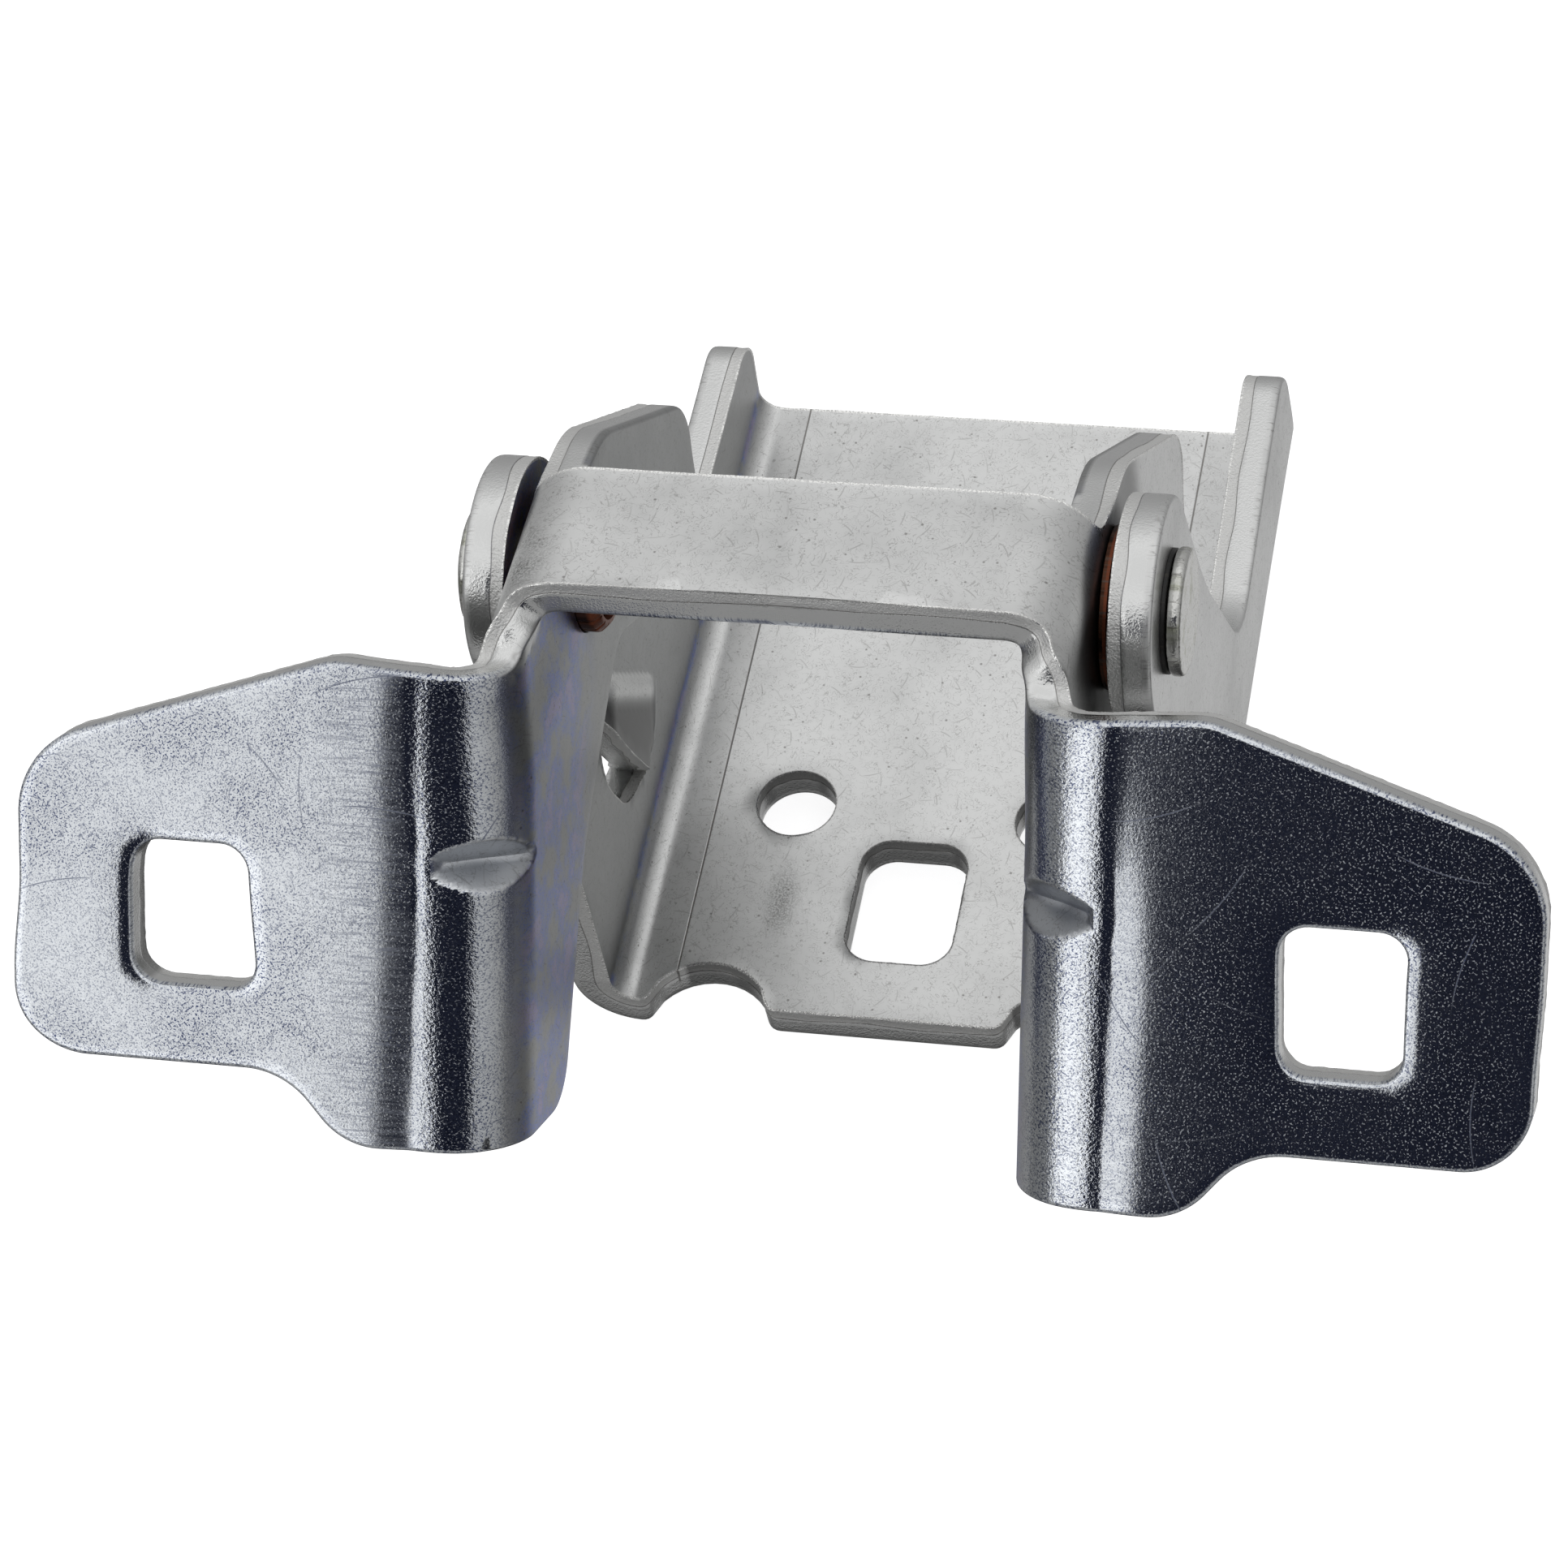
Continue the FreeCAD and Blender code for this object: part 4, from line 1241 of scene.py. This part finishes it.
def zincColour(on, m):
    f = zincFinish
    colour = blend(on.wingFace, f["zinc"], f["wing"])
    # painted shade on the inner faces of the cheeks and walls
    colour = blend(on.inner, colour, f["inner"])
    shade = ramp(m.cloudy, 0.3, 0.75, 1.03, 0.90)
    shade = added(shade, m.besideFold, -0.10)
    shade = added(shade, strongest(m.smudge, m.rub), -0.50)
    colour = blend(1.0, colour, grey(shade), "MULTIPLY")
    colour = blend(times(m.stained, on.plainFace, f["stainShare"]), colour, f["stain"])
    tint = blend(ramp(m.hue, 0.54, 0.66), f["blueing"], f["violet"])
    mottled = times(m.tinted, ramp(m.dots, 0.35, 0.62, 0.25, 0.9))
    layers = (
        (maths("MULTIPLY", mottled, on.tint, clamp=True), tint),
        (on.cut, f["cut"]),
        # painted highlight along the burr line
        (on.torn, f["torn"]),
        (m.burr, f["burr"]),
        # painted shade on the lug's face and on the cheek round the bush
        (times(on.dull, on.face), f["paintedShadeColour"]),
        (on.gusset, f["gusset"]),
        # painted shade on the edges of holes, windows, the front edge and beside the left slot
        (times(on.shade, without(1.0, on.face), f["shadeShare"]), f["paintedShadeColour"]),
        (times(m.specks, on.plainFace, f["speckShare"]), f["fleck"]),
        (times(strongest(m.hairy, m.scored), on.plainFace, f["scratchShare"]), f["fleck"]),
        (times(strongest(m.dieLine, m.fracture), f["lineShare"]), f["fleck"]),
        (m.inked, f["inkLine"]),
    )
    for share, layer in layers:
        colour = blend(share, colour, layer)
    return colour


def zincRough(on, m):
    f = zincFinish
    rough = added(f["satin"], on.wingFace, f["wingRough"] - f["satin"])
    rough = added(rough, on.cut, f["cutRough"] - f["satin"])
    rough = added(rough, times(on.rolled, on.wing), f["rolledRough"])
    rough = added(rough, on.torn, f["tornRough"] - f["satin"])
    rough = added(rough, m.burr, f["burrRough"])
    rough = added(rough, times(m.streaks, on.streak), f["streakRough"])
    rough = added(rough, m.glints, f["scratchRough"])
    return added(rough, m.inked, f["inkRough"])


def zincHeight(on, m):
    f = zincFinish
    plain, wingMore = f["faceGrain"]
    deep = added(plain, on.wingFace, wingMore)
    for share, more in ((times(on.bend, on.wing), "bendGrain"), (on.torn, "tornGrain"), (on.cut, "cutGrain"),
                        (on.rolled, "rolledGrain"), (on.gusset, "gussetGrain")):
        deep = added(deep, share, f[more])
    height = times(m.grain, strongest(deep, f["leastGrain"]))
    height = added(height, m.streaks, times(without(on.wingFace, on.bend), f["streakHeight"]))
    return added(height, strongest(m.dieLine, m.fracture), f["lineDepth"])


def makeZinc():
    material, tree, shader = newMetal("zincPlate")
    on = zincAreas(tree)
    m = zincMarks(tree, on)
    normal = relief(zincHeight(on, m))
    fill(shader, {"Base Color": zincColour(on, m), "Roughness": zincRough(on, m), "Normal": normal})
    return material


turnedFinish = {
    "pin": (0.64, 0.64, 0.62, 1.0),
    "pinStain": (0.40, 0.41, 0.33, 1.0),
    # washer: near black, painted shade of the gap under the pin head
    "washer": (0.05, 0.05, 0.05, 1.0),
    # the bronze tones are darkened as painted shade, for the bush in the gap between cheek and ear
    "bronzeInShade": (0.10, 0.045, 0.028, 1.0),
    "darkBronzeInShade": (0.022, 0.013, 0.010, 1.0),
    "copperHighlight": (0.19, 0.058, 0.030, 1.0),
    # painted highlight: copper shows at the bush's ends
    "paintedHighlight": (24.9, 31.12),   # copper shows nearer the middle than the first, and past the second
    "specks": {"Per mm": 1.3, "Size": 0.2, "Share": 0.25},
    "cracks": {"Per mm": 0.5, "Width": 0.012, "Share": 0.7},
    "grain": 2.2,
}


def makeTurned(name, light, dark, roughness, share, grainHeight, paintedHighlight=None):
    # turned pieces: two tones and fine grain, and a painted highlight colour at the ends
    f = turnedFinish
    material, tree, shader = newMetal(name)
    where = scaled(addNode(tree, "TexCoord").outputs["Object"], 1000.0)
    across, y, z = parts(where)
    onRim = firstOut(tree, "CombineXYZ", {"X": y, "Y": z, "Z": 0.0})
    stained = place(clouds, tree, {"Place": onRim, "Per mm": 0.35, "Share": share})["Mask"]
    specks = place(flecks, tree, {"Place": onRim, **f["specks"]})[0]
    cracks = place(hairs, tree, {"Place": onRim, **f["cracks"]})[0]
    colour = blend(stained, light, dark)
    # painted highlight in copper at the bush's ends
    if paintedHighlight:
        near, far = f["paintedHighlight"]
        out = absolute(across)
        wearAndHighlight = maths("ADD", ramp(out, far - 0.06, far + 0.06), ramp(out, near + 0.3, near - 0.3), clamp=True)
        colour = blend(times(wearAndHighlight, 0.85), colour, paintedHighlight)
    colour = blend(times(strongest(specks, cracks), 0.6), colour, zincFinish["fleck"])
    grain = place(grains, tree, {"Place": where, "Per mm": f["grain"]})[0]
    normal = relief(times(grain, grainHeight))
    fill(shader, {"Base Color": colour, "Roughness": roughness, "Normal": normal})
    return material


print("making materials")
t = turnedFinish
zinc = makeZinc()
pinSteel = makeTurned("pinSteel", t["pin"], t["pinStain"], 0.19, 0.5, 55.0)
# the washers are coloured near black as painted shade between the pin head and the ear
washerInPaintedShade = makeTurned("washerInPaintedShade", t["washer"], t["washer"], 0.45, 0.3, 20.0)
# the bush is painted dark as shade, with a painted copper highlight at its ends
bushBronze = makeTurned("bushBronze", t["bronzeInShade"], t["darkBronzeInShade"], 0.4, 0.7, 20.0, t["copperHighlight"])
finishes = (([doorLeaf, pillarLeaf], zinc), (pins, pinSteel), (washers, washerInPaintedShade), (bushes, bushBronze))
for pieces, material in finishes:
    for piece in pieces:
        piece.data.materials.append(material)


# Camera

view = {
    "place": (122.2, -341.65, 514.2),     # counted from the hinge axis, in millimetres
    "yaw": 21.112,
    "down": 52.720,
    "roll": -12.925,
    "lens": 124.27,
    "sensor": 36.0,
}


def buildCamera():
    yaw, down, roll = (math.radians(view[k]) for k in ("yaw", "down", "roll"))
    ahead = Vector((-math.sin(yaw) * math.cos(down), math.cos(yaw) * math.cos(down), -math.sin(down)))
    right = Vector((math.cos(yaw), math.sin(yaw), 0))
    up = right.cross(ahead)
    tiltedRight = math.cos(roll) * right + math.sin(roll) * up
    tiltedUp = -math.sin(roll) * right + math.cos(roll) * up
    camera = bpy.data.objects.new("camera", bpy.data.cameras.new("camera"))
    turn = Matrix((tiltedRight, tiltedUp, -ahead)).transposed().to_4x4()
    camera.matrix_world = Matrix.Translation(Vector(toFrame([view["place"]])[0])) @ turn
    camera.data.lens = view["lens"]
    camera.data.sensor_width = view["sensor"]
    camera.data.clip_start = 0.01
    bpy.context.collection.objects.link(camera)
    bpy.context.scene.camera = camera


buildCamera()


# Floor and studio light. Directions are in degrees: azimuth from the front (-Y) to the right, and height.

studio = {
    "plain": 0.80,             # what matt surfaces get from all round
    "heights": [               # what metal mirrors at each height
        (-60.0, 0.06), (-51.0, 0.37), (-36.0, 0.34), (-12.0, 0.37), (4.0, 0.43), (22.0, 0.53), (38.0, 0.68),
        (49.0, 0.82), (54.0, 0.92), (58.5, 1.04), (67.0, 0.88),
    ],
    "patches": [               # left, right, low, high, soft edge, brightness there
        (-53.0, -12.5, 1.0, 44.0, 5.0, 0.90),
        (-53.0, -12.5, 0.0, 15.0, 6.0, 1.25),
        (-45.0, -28.0, 1.0, 44.0, 8.0, 1.30),
        (-92.0, -54.0, -60.0, 6.0, 6.0, 0.19),
        (112.0, 181.0, -66.0, -40.0, 9.0, 0.60),
        (76.0, 122.0, -62.0, -6.0, 8.0, 0.19),
        (-32.0, 40.0, -36.0, 2.0, 7.0, 0.33),
    ],
    "flag": (-15.0, 42.0, 0.0, 43.5, 2.0),       # black card before the wings, a little blue
    "flagColour": (0.010, 0.012, 0.023, 1.0),
    "white": (1.0, 1.0, 1.0, 1.0),
    "floor": (0.62, 0.62, 0.63, 1.0),
    "floorGlow": 0.84,         # the floor seen by the camera, white with a trace of shadow
    "floorReach": 3.0,
    "floorBelow": 0.0004,      # metres under the part
}
patchInputs = {"Azimuth": 0.0, "Height": 0.0, "Left": 0.0, "Right": 0.0, "Low": 0.0, "High": 0.0, "Soft": 3.0}


def makePatch():
    # a soft rectangle of directions
    group, given, result = newGroup("patchOfSky", patchInputs, ["Mask"])
    shares = []
    for value, low, high in (("Azimuth", "Left", "Right"), ("Height", "Low", "High")):
        for edge, sign in ((low, 1.0), (high, -1.0)):
            past = maths("DIVIDE", maths("SUBTRACT", given[value], given[edge]), given["Soft"])
            shares.append(ramp(times(past, sign), -0.5, 0.5))
    fill(result, {"Mask": times(*shares)})
    return group


def buildWorld():
    world = bpy.data.worlds.new("studio")
    bpy.context.scene.world = world
    tree = emptyTree(world)
    patch = makePatch()
    x, y, z = parts(addNode(tree, "TexCoord").outputs["Generated"])
    azimuth = maths("DEGREES", maths("ARCTAN2", x, times(y, -1.0)))
    height = maths("DEGREES", maths("ARCSINE", z))

    def patchMask(*edges):
        return place(patch, tree, dict(zip(patchInputs, (azimuth, height, *edges))))[0]

    levels = studio["heights"]
    glow = levels[0][1]
    for (low, before), (high, after) in zip(levels, levels[1:]):
        glow = maths("ADD", glow, ramp(height, low, high, 0.0, after - before, "LINEAR"))
    for *edges, strength in studio["patches"]:
        glow = added(glow, patchMask(*edges), maths("SUBTRACT", strength, glow))
    path = addNode(tree, "LightPath").outputs
    sky = blend(patchMask(*studio["flag"]), grey(glow), studio["flagColour"])
    forMetal = firstOut(tree, "Background", {"Color": sky, "Strength": 1.0})
    forMatt = firstOut(tree, "Background", {"Color": studio["white"], "Strength": studio["plain"]})
    seen = firstOut(tree, "Background", {"Color": studio["white"], "Strength": 1.0})
    lit = firstOut(tree, "MixShader", {0: path["Is Glossy Ray"], 1: forMatt, 2: forMetal})
    whole = firstOut(tree, "MixShader", {0: path["Is Camera Ray"], 1: lit, 2: seen})
    addNode(tree, "OutputWorld", {"Surface": whole})


def buildFloor():
    far = studio["floorReach"]
    mesh = bpy.data.meshes.new("floor")
    mesh.from_pydata([(-far, -far, 0), (far, -far, 0), (far, far, 0), (-far, far, 0)], [], [(0, 1, 2, 3)])
    floor = bpy.data.objects.new("floor", mesh)
    floor.location = (0, 0, -studio["floorBelow"])
    floor.visible_glossy = False
    bpy.context.collection.objects.link(floor)
    material = bpy.data.materials.new("paleFloor")
    tree = emptyTree(material)
    path = addNode(tree, "LightPath").outputs
    matt = firstOut(tree, "BsdfDiffuse", {"Color": studio["floor"]})
    glow = firstOut(tree, "Emission", {"Color": studio["white"], "Strength": studio["floorGlow"]})
    both = firstOut(tree, "AddShader", {0: matt, 1: glow})
    whole = firstOut(tree, "MixShader", {0: path["Is Camera Ray"], 1: matt, 2: both})
    addNode(tree, "OutputMaterial", {"Surface": whole})
    mesh.materials.append(material)


print("building the studio")
buildFloor()
buildWorld()
bpy.context.scene.view_settings.view_transform = "Standard"

print("scene ready")
